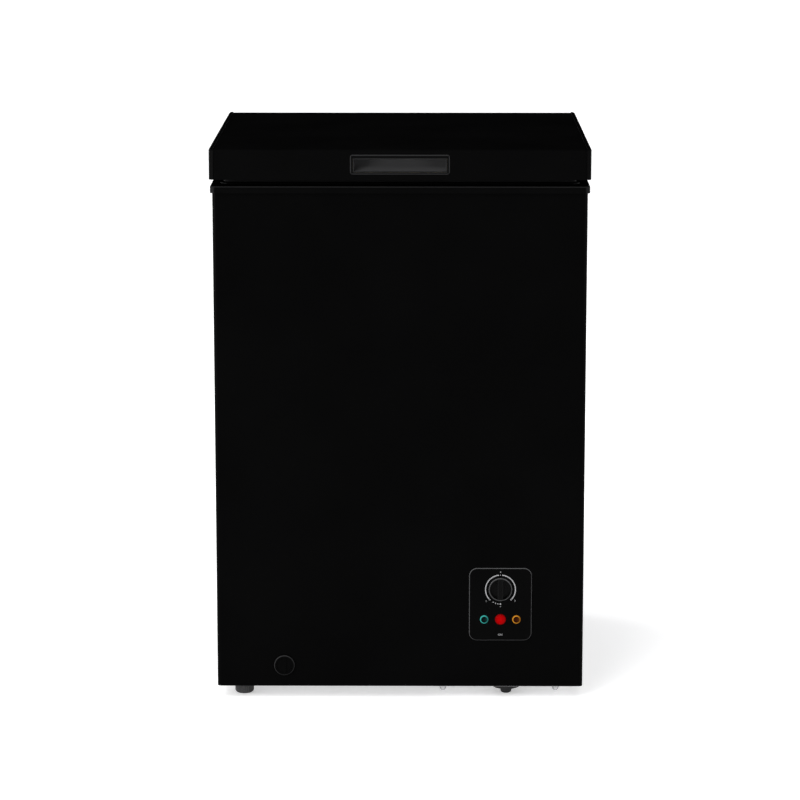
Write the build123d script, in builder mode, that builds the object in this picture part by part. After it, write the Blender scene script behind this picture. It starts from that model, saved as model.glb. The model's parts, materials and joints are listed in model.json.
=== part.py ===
"""Compact chest freezer in millimetres: front towards -Y, floor at Z = 0."""
import os

from build123d import *

os.makedirs("parts", exist_ok=True)

# Outer sizes
LID_WIDTH = 560.0
LID_DEPTH = 510.0
LID_TOP = 836.0
LID_BOTTOM = 789.0
LID_FRONT = -264.0
CABINET_WIDTH = 551.0
CABINET_DEPTH = 505.0
CABINET_FRONT = -260.0
CABINET_BOTTOM = 20.0
CABINET_TOP = 774.5
RIM_TOP = 779.0
RIM_BOTTOM = 769.0
RIM_OVERHANG = 3.25

# Walls and sheets
WALL = 62.0
SHEET = 0.8
HEM = 18.0
RETURN_FLANGE = 12.0
CABINET_CORNER = 6.0
LINER_CORNER = 28.0
LINER_FLOOR = 82.0
STEP_X = 36.0
STEP_TOP = 285.0
COMPARTMENT_X = 88.0
COMPARTMENT_TOP = 230.0

# Places derived from the sizes above
HALF_CABINET = CABINET_WIDTH / 2
CABINET_BACK = CABINET_FRONT + CABINET_DEPTH
CABINET_MID = (CABINET_FRONT + CABINET_BACK) / 2
LID_BACK = LID_FRONT + LID_DEPTH
LID_MID = (LID_FRONT + LID_BACK) / 2
INSIDE_HALF = HALF_CABINET - SHEET
INSIDE_FRONT = CABINET_FRONT + SHEET
BACK_PANEL_OUTER = CABINET_BACK - SHEET
BACK_PANEL_INNER = BACK_PANEL_OUTER - SHEET
HEM_TOP = CABINET_BOTTOM + SHEET
PLATE_TOP = HEM_TOP + SHEET
FOAM_TOP = CABINET_TOP - SHEET
LINER_HALF = HALF_CABINET - WALL
LINER_FRONT = CABINET_FRONT + WALL
LINER_BACK = CABINET_BACK - WALL
LINER_MID = (LINER_FRONT + LINER_BACK) / 2
LINER_DEPTH = LINER_BACK - LINER_FRONT
CEILING_TOP = COMPARTMENT_TOP + SHEET
COMPARTMENT_LEFT = COMPARTMENT_X - SHEET


def front_plane(y):
    """Plane at depth y that faces the front: its x runs right and its y runs up."""
    return Plane.XZ.offset(-y)


def write(builder, name):
    """Label a finished piece and write it to its own file."""
    builder.part.label = name
    export_step(builder.part, f"parts/{name}.step")


def block(x0, x1, y0, y1, z0, z1):
    """Plain box between two corners."""
    with BuildPart() as piece:
        with BuildSketch(Plane.XY.offset(z0)):
            with Locations(((x0 + x1) / 2, (y0 + y1) / 2)):
                Rectangle(x1 - x0, y1 - y0)
        extrude(amount=z1 - z0)
    return piece.part


def rounded_block(half_width, y0, y1, z0, z1, corner):
    """Box with rounded vertical edges, centred on X = 0."""
    with BuildPart() as piece:
        with BuildSketch(Plane.XY.offset(z0)):
            with Locations((0, (y0 + y1) / 2)):
                RectangleRounded(2 * half_width, y1 - y0, corner)
        extrude(amount=z1 - z0)
    return piece.part


def ring(outer, inner, z0, z1):
    """Rectangular ring; outer and inner give half width, front, back and corner radius."""
    with BuildPart() as piece:
        add(rounded_block(outer[0], outer[1], outer[2], z0, z1, outer[3]))
        add(rounded_block(inner[0], inner[1], inner[2], z0, z1, inner[3]), mode=Mode.SUBTRACT)
    return piece.part


def cabinet_core(draw_in, z0, z1):
    """Cabinet outline drawn in on all sides, with rounded front corners, between two heights."""
    with BuildPart() as piece:
        with BuildSketch(Plane.XY.offset(z0)) as outline:
            with Locations((0, CABINET_MID)):
                Rectangle(CABINET_WIDTH - 2 * draw_in, CABINET_DEPTH - 2 * draw_in)
            fillet(outline.vertices().group_by(Axis.Y)[0], CABINET_CORNER - draw_in)
        extrude(amount=z1 - z0)
    return piece.part


def rod(x, z, y0, y1, radius):
    """Round bar that runs from front to back."""
    with BuildPart() as piece:
        with BuildSketch(front_plane(y1)):
            with Locations((x, z)):
                Circle(radius)
        extrude(amount=y1 - y0)
    return piece.part


def post(x, y, z0, z1, radius):
    """Round bar that stands upright."""
    with BuildPart() as piece:
        with BuildSketch(Plane.XY.offset(z0)):
            with Locations((x, y)):
                Circle(radius)
        extrude(amount=z1 - z0)
    return piece.part


def cross_rod(y, z, x0, x1, radius):
    """Round bar that runs from left to right."""
    with BuildPart() as piece:
        with BuildSketch(Plane.YZ.offset(x0)):
            with Locations((y, z)):
                Circle(radius)
        extrude(amount=x1 - x0)
    return piece.part


def pipe(points, bend, radius, bore=0):
    """Round wire or tube along straight runs with bends of one radius."""
    with BuildPart() as piece:
        with BuildLine() as path:
            FilletPolyline(*points, radius=bend)
        with BuildSketch(Plane(path.line @ 0, z_dir=path.line % 0)):
            Circle(radius)
            if bore:
                Circle(bore, mode=Mode.SUBTRACT)
        sweep(path=path.line)
    return piece.part


# Folded cabinet wrap: front and both sides in one sheet
PANEL_X = 150.8
PANEL_Z = 148.0
PANEL_WIDTH = 94.0
PANEL_HEIGHT = 112.0
PANEL_CORNER = 12.0
WINDOW_MARGIN = 4.0
WINDOW_WIDTH = PANEL_WIDTH - 2 * WINDOW_MARGIN
WINDOW_HEIGHT = PANEL_HEIGHT - 2 * WINDOW_MARGIN
DRAIN_X = -174.3
DRAIN_Z = 52.8
DRAIN_PIPE_RADIUS = 10.0
STUD_LEFT = 64.9
STUD_RIGHT = 235.0
STUD_FRONT = CABINET_FRONT + 12
STUD_BACK = BACK_PANEL_OUTER - 10
STUD_RADIUS = 3.0
STUD_PLACES = [(x, y) for x in (STUD_LEFT, STUD_RIGHT) for y in (STUD_FRONT, STUD_BACK)]

wrap_outside = cabinet_core(0, CABINET_BOTTOM, CABINET_TOP)
wrap_inside = cabinet_core(SHEET, HEM_TOP, FOAM_TOP)
hem_opening = block(
    HEM - HALF_CABINET,
    HALF_CABINET - HEM,
    CABINET_FRONT + HEM,
    CABINET_BACK,
    CABINET_BOTTOM,
    CABINET_TOP,
)
back_opening = block(
    RETURN_FLANGE - HALF_CABINET,
    HALF_CABINET - RETURN_FLANGE,
    BACK_PANEL_OUTER,
    CABINET_BACK,
    CABINET_BOTTOM,
    CABINET_TOP,
)
with BuildPart() as cabinet_wrap:
    add(wrap_outside)
    add(wrap_inside, mode=Mode.SUBTRACT)
    add(hem_opening, mode=Mode.SUBTRACT)
    add(back_opening, mode=Mode.SUBTRACT)
    with BuildSketch(front_plane(CABINET_FRONT)):
        with Locations((PANEL_X, PANEL_Z)):
            RectangleRounded(WINDOW_WIDTH, WINDOW_HEIGHT, PANEL_CORNER - WINDOW_MARGIN)
        with Locations((DRAIN_X, DRAIN_Z)):
            Circle(DRAIN_PIPE_RADIUS + 0.2)
    extrude(amount=-3 * SHEET, mode=Mode.SUBTRACT)
    with BuildSketch(Plane.XY.offset(CABINET_BOTTOM)):
        with Locations((STUD_LEFT, STUD_FRONT), (STUD_RIGHT, STUD_FRONT)):
            Circle(STUD_RADIUS + 0.3)
    extrude(amount=SHEET, mode=Mode.SUBTRACT)
write(cabinet_wrap, "cabinet_wrap")

# Back panel with the window of the machine compartment and a bottom flange
VENT_LEFT = COMPARTMENT_X + 14
VENT_RIGHT = HALF_CABINET - RETURN_FLANGE - 9
VENT_BOTTOM = 38.0
VENT_TOP = COMPARTMENT_TOP - 14

with BuildPart() as back_panel:
    with BuildSketch(front_plane(BACK_PANEL_OUTER)):
        with Locations((0, (HEM_TOP + FOAM_TOP) / 2)):
            Rectangle(2 * INSIDE_HALF, FOAM_TOP - HEM_TOP)
        with Locations(((VENT_LEFT + VENT_RIGHT) / 2, (VENT_BOTTOM + VENT_TOP) / 2)):
            RectangleRounded(VENT_RIGHT - VENT_LEFT, VENT_TOP - VENT_BOTTOM, 6, mode=Mode.SUBTRACT)
    extrude(amount=SHEET)
    with BuildSketch(Plane.XY.offset(CABINET_BOTTOM)):
        with Locations((0, BACK_PANEL_OUTER - HEM / 2)):
            Rectangle(CABINET_WIDTH - 2 * HEM - 1, HEM)
        with Locations((STUD_LEFT, STUD_BACK), (STUD_RIGHT, STUD_BACK)):
            Circle(STUD_RADIUS + 0.3, mode=Mode.SUBTRACT)
    extrude(amount=SHEET)
write(back_panel, "back_panel")

# Bottom plate under the foam, left of the machine compartment
FOOT_LEFT = -236.8
FOOT_FRONT = CABINET_FRONT + 37
FOOT_BACK = 200.0
SOCKET_RADIUS = 8.0
FOOT_PLACES = [(FOOT_LEFT, FOOT_FRONT), (FOOT_LEFT, FOOT_BACK)]

bottom_sheet = block(-INSIDE_HALF, COMPARTMENT_LEFT, INSIDE_FRONT, BACK_PANEL_INNER, HEM_TOP, PLATE_TOP)
with BuildPart() as bottom_plate:
    add(bottom_sheet)
    add(wrap_inside, mode=Mode.INTERSECT)
    with BuildSketch(Plane.XY.offset(HEM_TOP)):
        with Locations(*FOOT_PLACES):
            Circle(SOCKET_RADIUS)
        with Locations((STUD_LEFT, STUD_FRONT), (STUD_LEFT, STUD_BACK)):
            Circle(STUD_RADIUS + 0.3)
    extrude(amount=SHEET, mode=Mode.SUBTRACT)
write(bottom_plate, "bottom_plate")

# Pipe places, shared by the compartment wall and the cooling circuit
PIPE_RADIUS = 4.0
THIN_RADIUS = 2.5
EVAPORATOR_GAP = SHEET + PIPE_RADIUS + 0.1
EVAPORATOR_X = LINER_HALF + EVAPORATOR_GAP
EVAPORATOR_INLET = (EVAPORATOR_X, 0.0)
EVAPORATOR_OUTLET = (EVAPORATOR_X + 2 * PIPE_RADIUS + 2, 90.0)
CONDENSER_X = INSIDE_HALF - THIN_RADIUS - 0.2
CONDENSER_INLET = (CONDENSER_X, 200.0)
CONDENSER_OUTLET = (CONDENSER_X - 2 * THIN_RADIUS - 2, 20.0)
SENSOR_PLACE = (230.0, -130.0)
SENSOR_RADIUS = 1.5
CAPILLARY_RADIUS = 1.2
PIPE_END = COMPARTMENT_TOP - 14

# Folded wall between the machine compartment and the foam
compartment_side = block(
    COMPARTMENT_LEFT, COMPARTMENT_X, INSIDE_FRONT, BACK_PANEL_INNER, HEM_TOP, CEILING_TOP
)
compartment_ceiling = block(
    COMPARTMENT_LEFT, INSIDE_HALF, INSIDE_FRONT, BACK_PANEL_INNER, COMPARTMENT_TOP, CEILING_TOP
)
with BuildPart() as compartment_wall:
    add(compartment_side)
    add(compartment_ceiling)
    add(wrap_inside, mode=Mode.INTERSECT)
    with BuildSketch(Plane.XY.offset(COMPARTMENT_TOP)):
        with Locations(EVAPORATOR_INLET, EVAPORATOR_OUTLET):
            Circle(PIPE_RADIUS + 0.1)
        with Locations(CONDENSER_INLET, CONDENSER_OUTLET):
            Circle(THIN_RADIUS + 0.1)
        with Locations(SENSOR_PLACE):
            Circle(SENSOR_RADIUS + 0.1)
    extrude(amount=SHEET, mode=Mode.SUBTRACT)
write(compartment_wall, "compartment_wall")


# Inner liner: a tub with a raised step over the machine compartment
def tub(grow):
    """The storage space, grown outwards by a sheet's thickness."""
    with BuildPart() as space:
        with BuildSketch(Plane.XY.offset(LINER_FLOOR - grow)):
            with Locations((0, LINER_MID)):
                RectangleRounded(2 * (LINER_HALF + grow), LINER_DEPTH + 2 * grow, LINER_CORNER + grow)
        extrude(amount=CABINET_TOP - LINER_FLOOR + grow)
        with BuildSketch(Plane.XY.offset(LINER_FLOOR - grow)):
            with Locations((STEP_X + grow + LINER_HALF, LINER_MID)):
                Rectangle(2 * LINER_HALF, 2 * LINER_DEPTH)
        extrude(amount=STEP_TOP - LINER_FLOOR, mode=Mode.SUBTRACT)
        floors = space.faces().filter_by(Axis.Z).sort_by(Axis.Z)
        fillet(floors[0].edges(), 10 + grow)
    return space.part


DRAIN_HOLE_Y = -150.0
DRAIN_BORE = 8.2

storage_space = tub(0)
liner_outside = tub(SHEET)
liner_flange = ring(
    (LINER_HALF + 16, LINER_FRONT - 16, LINER_BACK + 16, LINER_CORNER + 16),
    (LINER_HALF, LINER_FRONT, LINER_BACK, LINER_CORNER),
    FOAM_TOP,
    CABINET_TOP,
)
with BuildPart() as inner_liner:
    add(liner_outside)
    add(liner_flange)
    add(storage_space, mode=Mode.SUBTRACT)
    with BuildSketch(Plane.XY.offset(LINER_FLOOR - SHEET)):
        with Locations((DRAIN_X, DRAIN_HOLE_Y)):
            Circle(DRAIN_BORE)
    extrude(amount=SHEET, mode=Mode.SUBTRACT)
write(inner_liner, "inner_liner")

# Drain pipe from the liner floor to the front
drain_path = [
    (DRAIN_X, CABINET_FRONT, DRAIN_Z),
    (DRAIN_X, DRAIN_HOLE_Y, DRAIN_Z),
    (DRAIN_X, DRAIN_HOLE_Y, LINER_FLOOR - SHEET),
]
DRAIN_BEND = 13.0
drain_tube = pipe(drain_path, DRAIN_BEND, DRAIN_PIPE_RADIUS, DRAIN_BORE)
drain_core = pipe(drain_path, DRAIN_BEND, DRAIN_PIPE_RADIUS)
with BuildPart() as drain_pipe:
    add(drain_tube)
write(drain_pipe, "drain_pipe")

# Threaded sockets for the two levelling feet
SOCKET_TOP = 52.0
SOCKET_FLANGE = 15.0
FOOT_STUD_RADIUS = 4.0


def foot_socket(x, y, bore):
    """Closed sleeve with a flange under the bottom plate."""
    with BuildPart() as socket:
        with BuildSketch(Plane.XY.offset(HEM_TOP - 1.6)):
            with Locations((x, y)):
                Circle(SOCKET_FLANGE)
        extrude(amount=1.6)
        with BuildSketch(Plane.XY.offset(HEM_TOP)):
            with Locations((x, y)):
                Circle(SOCKET_RADIUS)
        extrude(amount=SOCKET_TOP - HEM_TOP)
        if bore:
            with BuildSketch(Plane.XY.offset(HEM_TOP - 1.6)):
                with Locations((x, y)):
                    Circle(bore)
            extrude(amount=SOCKET_TOP - HEM_TOP - 2, mode=Mode.SUBTRACT)
    return socket.part


sockets = [foot_socket(x, y, FOOT_STUD_RADIUS + 0.4) for x, y in FOOT_PLACES]
socket_cores = [foot_socket(x, y, 0) for x, y in FOOT_PLACES]
with BuildPart() as foot_sockets:
    add(sockets)
write(foot_sockets, "foot_sockets")

# Foam between the cabinet's sheets and the liner
foam_outside = block(-INSIDE_HALF, INSIDE_HALF, INSIDE_FRONT, BACK_PANEL_INNER, PLATE_TOP, FOAM_TOP)
compartment_space = block(
    COMPARTMENT_LEFT, INSIDE_HALF, INSIDE_FRONT, BACK_PANEL_INNER, PLATE_TOP, CEILING_TOP
)
with BuildPart() as cabinet_foam:
    add(foam_outside)
    add(wrap_inside, mode=Mode.INTERSECT)
    add(compartment_space, mode=Mode.SUBTRACT)
    add(liner_outside, mode=Mode.SUBTRACT)
    add(drain_core, mode=Mode.SUBTRACT)
    add(socket_cores, mode=Mode.SUBTRACT)
write(cabinet_foam, "cabinet_foam")

# Plastic rim around the mouth, with a raised seat for the gasket
RIM_HALF = HALF_CABINET + RIM_OVERHANG
RIM_FRONT = CABINET_FRONT - RIM_OVERHANG
RIM_BACK = CABINET_BACK + RIM_OVERHANG
RIM_CORNER = 9.0
RIM_EDGE = 1.6
RIM_CLEARANCE = 0.1
SEAT_TOP = 781.0
SEAT_SIDE = 14.0
SEAT_FRONT = 28.0
MOUTH_INSET = 2.5
SKIRT_BOTTOM = 750.0

rim_edge = (RIM_HALF, RIM_FRONT, RIM_BACK, RIM_CORNER)
mouth = (
    LINER_HALF - MOUTH_INSET,
    LINER_FRONT + MOUTH_INSET,
    LINER_BACK - MOUTH_INSET,
    LINER_CORNER - MOUTH_INSET,
)
cabinet_fit = cabinet_core(-RIM_CLEARANCE, RIM_BOTTOM, CABINET_TOP)
seat_edge = (RIM_HALF - SEAT_SIDE, RIM_FRONT + SEAT_FRONT, RIM_BACK - SEAT_SIDE, 14.0)
skirt_edge = (LINER_HALF - 0.2, LINER_FRONT + 0.2, LINER_BACK - 0.2, LINER_CORNER - 0.2)
rim_plate = ring(rim_edge, mouth, CABINET_TOP, RIM_TOP)
rim_lip = rounded_block(RIM_HALF, RIM_FRONT, RIM_BACK, RIM_BOTTOM, CABINET_TOP, RIM_CORNER)
rim_seat = ring(seat_edge, mouth, RIM_TOP, SEAT_TOP)
rim_skirt = ring(skirt_edge, mouth, SKIRT_BOTTOM, CABINET_TOP)
with BuildPart() as rim_frame:
    add(rim_lip)
    add(cabinet_fit, mode=Mode.SUBTRACT)
    add(rim_plate)
    fillet(rim_frame.faces().sort_by(Axis.Z)[-1].outer_wire().edges(), RIM_EDGE)
    add(rim_seat)
    add(rim_skirt)
write(rim_frame, "rim_frame")

# Lid skin: a pressed pan with an inward flange along its lower edge
CAP_SHEET = 0.8
CAP_RISE = 1.4
CAP_STRIP = 7.0
LID_PANEL = LID_TOP - CAP_RISE
LID_HALF = LID_WIDTH / 2 - CAP_SHEET
LID_CORNER = 8.0
LID_EDGE = 4.0
LID_FLANGE = 10.0
FRAME_HALF = 73.0
FRAME_BOTTOM = 797.0
FRAME_TOP = 826.0
FRAME_PROUD = 1.0
CUP_HALF = 68.8
CUP_BOTTOM = 800.2
CUP_TOP = 820.8
CUP_BACK = -238.5
CUP_WALL = 1.5


def lid_block(grow, bottom, top, edge):
    """Lid outline grown on all sides, with rounded upper edges."""
    with BuildPart() as piece:
        with BuildSketch(Plane.XY.offset(bottom)):
            with Locations((0, LID_MID)):
                RectangleRounded(2 * (LID_HALF + grow), LID_DEPTH + 2 * grow, LID_CORNER + grow)
        extrude(amount=top - bottom)
        fillet(piece.faces().sort_by(Axis.Z)[-1].edges(), edge)
    return piece.part


lid_outside = lid_block(0, LID_BOTTOM, LID_PANEL, LID_EDGE)
lid_inside = lid_block(-SHEET, LID_BOTTOM, LID_PANEL - SHEET, LID_EDGE - SHEET)
lid_hem = ring(
    (LID_HALF - SHEET, LID_FRONT + SHEET, LID_BACK - SHEET, LID_CORNER - SHEET),
    (LID_HALF - LID_FLANGE, LID_FRONT + LID_FLANGE, LID_BACK - LID_FLANGE, 3.0),
    LID_BOTTOM,
    LID_BOTTOM + SHEET,
)
with BuildPart() as lid_skin:
    add(lid_outside)
    add(lid_inside, mode=Mode.SUBTRACT)
    add(lid_hem)
    with BuildSketch(front_plane(LID_FRONT)):
        with Locations((0, (CUP_BOTTOM + CUP_TOP) / 2)):
            Rectangle(2 * CUP_HALF + 1, CUP_TOP - CUP_BOTTOM + 1)
    extrude(amount=-2 * SHEET, mode=Mode.SUBTRACT)
write(lid_skin, "lid_skin")

# Trims that close the two ends of the lid
cap_outside = lid_block(CAP_SHEET, LID_BOTTOM, LID_TOP, LID_EDGE + CAP_SHEET)
lid_solid = lid_block(0, LID_BOTTOM - CAP_SHEET, LID_PANEL, LID_EDGE)
trim_reach = LID_WIDTH / 2 - CAP_STRIP


def lid_slice(x0, x1):
    """Block that takes in the whole lid between two places along X."""
    return block(x0, x1, 2 * LID_FRONT, 2 * LID_BACK, LID_BOTTOM - CAP_STRIP, LID_TOP + CAP_STRIP)


trim_zones = [
    ("lid_trim_left", lid_slice(-LID_WIDTH, -trim_reach)),
    ("lid_trim_right", lid_slice(trim_reach, LID_WIDTH)),
]
for name, zone in trim_zones:
    with BuildPart() as lid_trim:
        add(cap_outside)
        add(lid_solid, mode=Mode.SUBTRACT)
        add(zone, mode=Mode.INTERSECT)
    write(lid_trim, name)


# Handle: a black frame around a scooped cup that fingers hook into
def cup_block(half_width, wall):
    """Scoop-shaped block; a wall thickness of zero gives the cup's outside."""
    with BuildPart() as piece:
        with BuildSketch(Plane.YZ.offset(-half_width)):
            with BuildLine():
                front = LID_FRONT - FRAME_PROUD / 2 - wall
                inner_front = LID_FRONT + SHEET + 0.1 + wall
                scoop_bottom = (front, CUP_BOTTOM + wall)
                scoop_middle = (CUP_BACK - 8.5 - 0.8 * wall, CUP_BOTTOM + 6.2 + 0.8 * wall)
                scoop_top = (CUP_BACK - wall, CUP_TOP - 2)
                ThreePointArc(scoop_bottom, scoop_middle, scoop_top)
                Polyline(
                    scoop_top,
                    (CUP_BACK - wall, FRAME_TOP + 0.5 - wall),
                    (inner_front, FRAME_TOP + 0.5 - wall),
                    (inner_front, CUP_TOP - wall),
                    (front, CUP_TOP - wall),
                    scoop_bottom,
                )
            make_face()
        extrude(amount=2 * half_width)
    return piece.part


cup_outside = cup_block(CUP_HALF, 0)
cup_inside = cup_block(CUP_HALF - CUP_WALL, CUP_WALL)
with BuildPart() as handle_cup:
    add(cup_outside)
    add(cup_inside, mode=Mode.SUBTRACT)
write(handle_cup, "handle_cup")

with BuildPart() as handle_frame:
    with BuildSketch(front_plane(LID_FRONT)):
        with Locations((0, (FRAME_BOTTOM + FRAME_TOP) / 2)):
            RectangleRounded(2 * FRAME_HALF, FRAME_TOP - FRAME_BOTTOM, 4)
    extrude(amount=FRAME_PROUD)
    fillet(handle_frame.faces().sort_by(Axis.Y)[0].edges(), 0.7)
    with BuildSketch(front_plane(LID_FRONT)):
        with Locations((0, (CUP_BOTTOM + CUP_TOP) / 2)):
            Rectangle(2 * CUP_HALF + 0.4, CUP_TOP - CUP_BOTTOM + 0.4)
    extrude(amount=2 * FRAME_PROUD, mode=Mode.SUBTRACT)
write(handle_frame, "handle_frame")

# Lid inner panel with a shallow plug that drops into the mouth
PANEL_SHEET = 1.5
PANEL_UNDERSIDE = LID_BOTTOM + SHEET
PANEL_UPPER = PANEL_UNDERSIDE + PANEL_SHEET
PLUG_HALF = 204.0
PLUG_FRONT = -188.0
PLUG_BACK = 173.0
PLUG_BOTTOM = 772.0
PLUG_TAPER = 15.0
PLUG_CORNER = 22.0
PANEL_PLAY = 1.0


def plug(shrink, top, bottom):
    """Tapered plug under the lid, drawn in from its outside."""
    width = 2 * (PLUG_HALF - shrink)
    depth = PLUG_BACK - PLUG_FRONT - 2 * shrink
    with BuildPart() as piece:
        with BuildSketch(Plane.XY.offset(top)):
            with Locations((0, (PLUG_FRONT + PLUG_BACK) / 2)):
                RectangleRounded(width, depth, PLUG_CORNER - shrink)
        extrude(amount=bottom - top, taper=PLUG_TAPER)
    return piece.part


plug_outside = plug(0, PANEL_UNDERSIDE, PLUG_BOTTOM)
plug_inside = plug(PANEL_SHEET, PANEL_UPPER, PLUG_BOTTOM + PANEL_SHEET)
panel_sheet = rounded_block(
    LID_HALF - PANEL_PLAY,
    LID_FRONT + PANEL_PLAY,
    LID_BACK - PANEL_PLAY,
    PANEL_UNDERSIDE,
    PANEL_UPPER,
    LID_CORNER - PANEL_PLAY,
)
with BuildPart() as lid_liner:
    add(panel_sheet)
    add(plug_outside)
    add(plug_inside, mode=Mode.SUBTRACT)
write(lid_liner, "lid_liner")

# Foam that fills the lid
foam_block = lid_block(-SHEET, PANEL_UPPER, LID_PANEL - SHEET, LID_EDGE - SHEET)
with BuildPart() as lid_foam:
    add(foam_block)
    add(plug_inside)
    add(cup_outside, mode=Mode.SUBTRACT)
write(lid_foam, "lid_foam")

# Magnetic gasket: a flat foot under the inner panel and a soft bulb below it
GASKET_WIDTH = 16.0
GASKET_GAP = 0.3
GASKET_INSET = 3.0
GASKET_FOOT = 3.0
BULB_INSET = 2.0
BULB_EDGE = 1.5


def inset(edge, amount):
    """Draw a ring outline in on all sides."""
    return (edge[0] - amount, edge[1] + amount, edge[2] - amount, max(edge[3] - amount, 1.0))


foot_edge = inset(seat_edge, GASKET_INSET)
bulb_edge = inset(foot_edge, BULB_INSET)
foot_bottom = PANEL_UNDERSIDE - GASKET_FOOT
gasket_foot = ring(foot_edge, inset(foot_edge, GASKET_WIDTH), foot_bottom, PANEL_UNDERSIDE)
gasket_bulb = ring(
    bulb_edge, inset(bulb_edge, GASKET_WIDTH - 2 * BULB_INSET), SEAT_TOP + GASKET_GAP, foot_bottom
)
with BuildPart() as lid_gasket:
    add(gasket_bulb)
    fillet(lid_gasket.faces().sort_by(Axis.Z)[0].edges(), BULB_EDGE)
    add(gasket_foot)
write(lid_gasket, "lid_gasket")

# Lid hinges behind the cabinet
HINGE_X = 165.0
HINGE_Y = 257.0
HINGE_Z = 784.0
PIN_RADIUS = 3.0
BRACKET_HALF = 26.0
BRACKET_SHEET = 2.0
BRACKET_BOTTOM = 688.0
BRACKET_TOP = 766.0
LEAF_HALF = 22.0
LEAF_BOTTOM = 795.0
LEAF_TOP = 830.0
EYE_RADIUS = 8.0
SCREW_HOLE = 2.4
PIN_HEAD = 2.0
SPRING_PITCH = 2.4
SPRING_LENGTH = 26.0
SPRING_RADIUS = 5.2
SPRING_WIRE = 0.9
BRACKET_SCREWS = [(x, z) for x in (-14, 14) for z in (702, 748)]
LEAF_SCREWS = [(-12, 822), (12, 822), (0, 804)]


def ear(x0, outline, hole):
    """Upright plate across the hinge axis, with an eye for the pin."""
    with BuildPart() as piece:
        with BuildSketch(Plane.YZ.offset(x0)):
            with BuildLine():
                Polyline(*outline, close=True)
            make_face()
            with Locations((HINGE_Y, HINGE_Z)):
                Circle(EYE_RADIUS)
                Circle(hole, mode=Mode.SUBTRACT)
        extrude(amount=BRACKET_SHEET)
    return piece.part


def screw_holes(x, y, places, radius):
    """Short bars that cut a row of screw holes through a plate at depth y."""
    return [rod(x + dx, z, y - 1, y + BRACKET_SHEET + 1, radius) for dx, z in places]


def hinge_spring_part(x):
    """Torsion spring wound around the pin."""
    with BuildPart() as piece:
        with BuildLine() as coil:
            Helix(
                SPRING_PITCH,
                SPRING_LENGTH,
                SPRING_RADIUS,
                center=(x - SPRING_LENGTH / 2, HINGE_Y, HINGE_Z),
                direction=(1, 0, 0),
            )
        with BuildSketch(Plane(coil.line @ 0, z_dir=coil.line % 0)):
            Circle(SPRING_WIRE)
        sweep(path=coil.line, is_frenet=True)
    return piece.part


plate_face = BACK_PANEL_OUTER + BRACKET_SHEET
leaf_face = LID_BACK + BRACKET_SHEET
bracket_outline = [
    (plate_face - 0.5, BRACKET_BOTTOM + 6),
    (plate_face + 6, BRACKET_BOTTOM + 6),
    (HINGE_Y + 7.6, HINGE_Z - 3),
    (HINGE_Y, HINGE_Z),
    (HINGE_Y - 7.6, HINGE_Z - 3),
    (HINGE_Y - 7.6, BRACKET_TOP),
    (plate_face - 0.5, BRACKET_TOP),
]
leaf_outline = [
    (leaf_face - 0.5, LEAF_BOTTOM + 1),
    (HINGE_Y - 7, HINGE_Z),
    (HINGE_Y, HINGE_Z),
    (HINGE_Y + 7, HINGE_Z + 4),
    (leaf_face + 4, LEAF_TOP - 4),
    (leaf_face - 0.5, LEAF_TOP - 4),
]
for side, word in ((-1, "left"), (1, "right")):
    x = side * HINGE_X
    bracket_plate = block(
        x - BRACKET_HALF, x + BRACKET_HALF, BACK_PANEL_OUTER, plate_face, BRACKET_BOTTOM, BRACKET_TOP
    )
    bracket_ears = [
        ear(x0, bracket_outline, PIN_RADIUS + 0.05)
        for x0 in (x - BRACKET_HALF, x + BRACKET_HALF - BRACKET_SHEET)
    ]
    bracket_holes = screw_holes(x, BACK_PANEL_OUTER, BRACKET_SCREWS, SCREW_HOLE)
    with BuildPart() as hinge_bracket:
        add(bracket_plate)
        add(bracket_ears)
        add(bracket_holes, mode=Mode.SUBTRACT)
    write(hinge_bracket, f"hinge_bracket_{word}")

    leaf_plate = block(x - LEAF_HALF, x + LEAF_HALF, LID_BACK, leaf_face, LEAF_BOTTOM, LEAF_TOP)
    leaf_ears = [
        ear(x0, leaf_outline, PIN_RADIUS + 0.35) for x0 in (x - LEAF_HALF, x + LEAF_HALF - BRACKET_SHEET)
    ]
    leaf_holes = screw_holes(x, LID_BACK, LEAF_SCREWS, SCREW_HOLE)
    with BuildPart() as hinge_leaf:
        add(leaf_plate)
        add(leaf_ears)
        add(leaf_holes, mode=Mode.SUBTRACT)
    write(hinge_leaf, f"hinge_leaf_{word}")

    pin_ends = (x - BRACKET_HALF - PIN_HEAD, x + BRACKET_HALF)
    pin_shank = cross_rod(HINGE_Y, HINGE_Z, *pin_ends, PIN_RADIUS)
    pin_heads = [
        cross_rod(HINGE_Y, HINGE_Z, x0, x0 + PIN_HEAD, PIN_RADIUS + PIN_HEAD) for x0 in pin_ends
    ]
    with BuildPart() as hinge_pin:
        add(pin_shank)
        add(pin_heads)
    write(hinge_pin, f"hinge_pin_{word}")

    coil_part = hinge_spring_part(x)
    with BuildPart() as hinge_spring:
        add(coil_part)
    write(hinge_spring, f"hinge_spring_{word}")


# Screws, each a domed head on a plain shank
SCREW_HEAD = 4.4
SCREW_HEAD_HEIGHT = 2.6
SCREW_DOME = 1.8
SCREW_RADIUS = 2.0
LONG_SCREW = 14.0
SHORT_SCREW = 9.0


def screw(x, z, face, length):
    """Screw driven towards the front through a surface at depth face."""
    with BuildPart() as piece:
        add(rod(x, z, face, face + SCREW_HEAD_HEIGHT, SCREW_HEAD))
        fillet(piece.faces().sort_by(Axis.Y)[-1].edges(), SCREW_DOME)
        add(rod(x, z, face - length, face, SCREW_RADIUS))
    return piece.part


bracket_screw_set = [
    screw(side * HINGE_X + dx, z, plate_face, LONG_SCREW) for side in (-1, 1) for dx, z in BRACKET_SCREWS
]
with BuildPart() as bracket_screws:
    add(bracket_screw_set)
write(bracket_screws, "bracket_screws")

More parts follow.
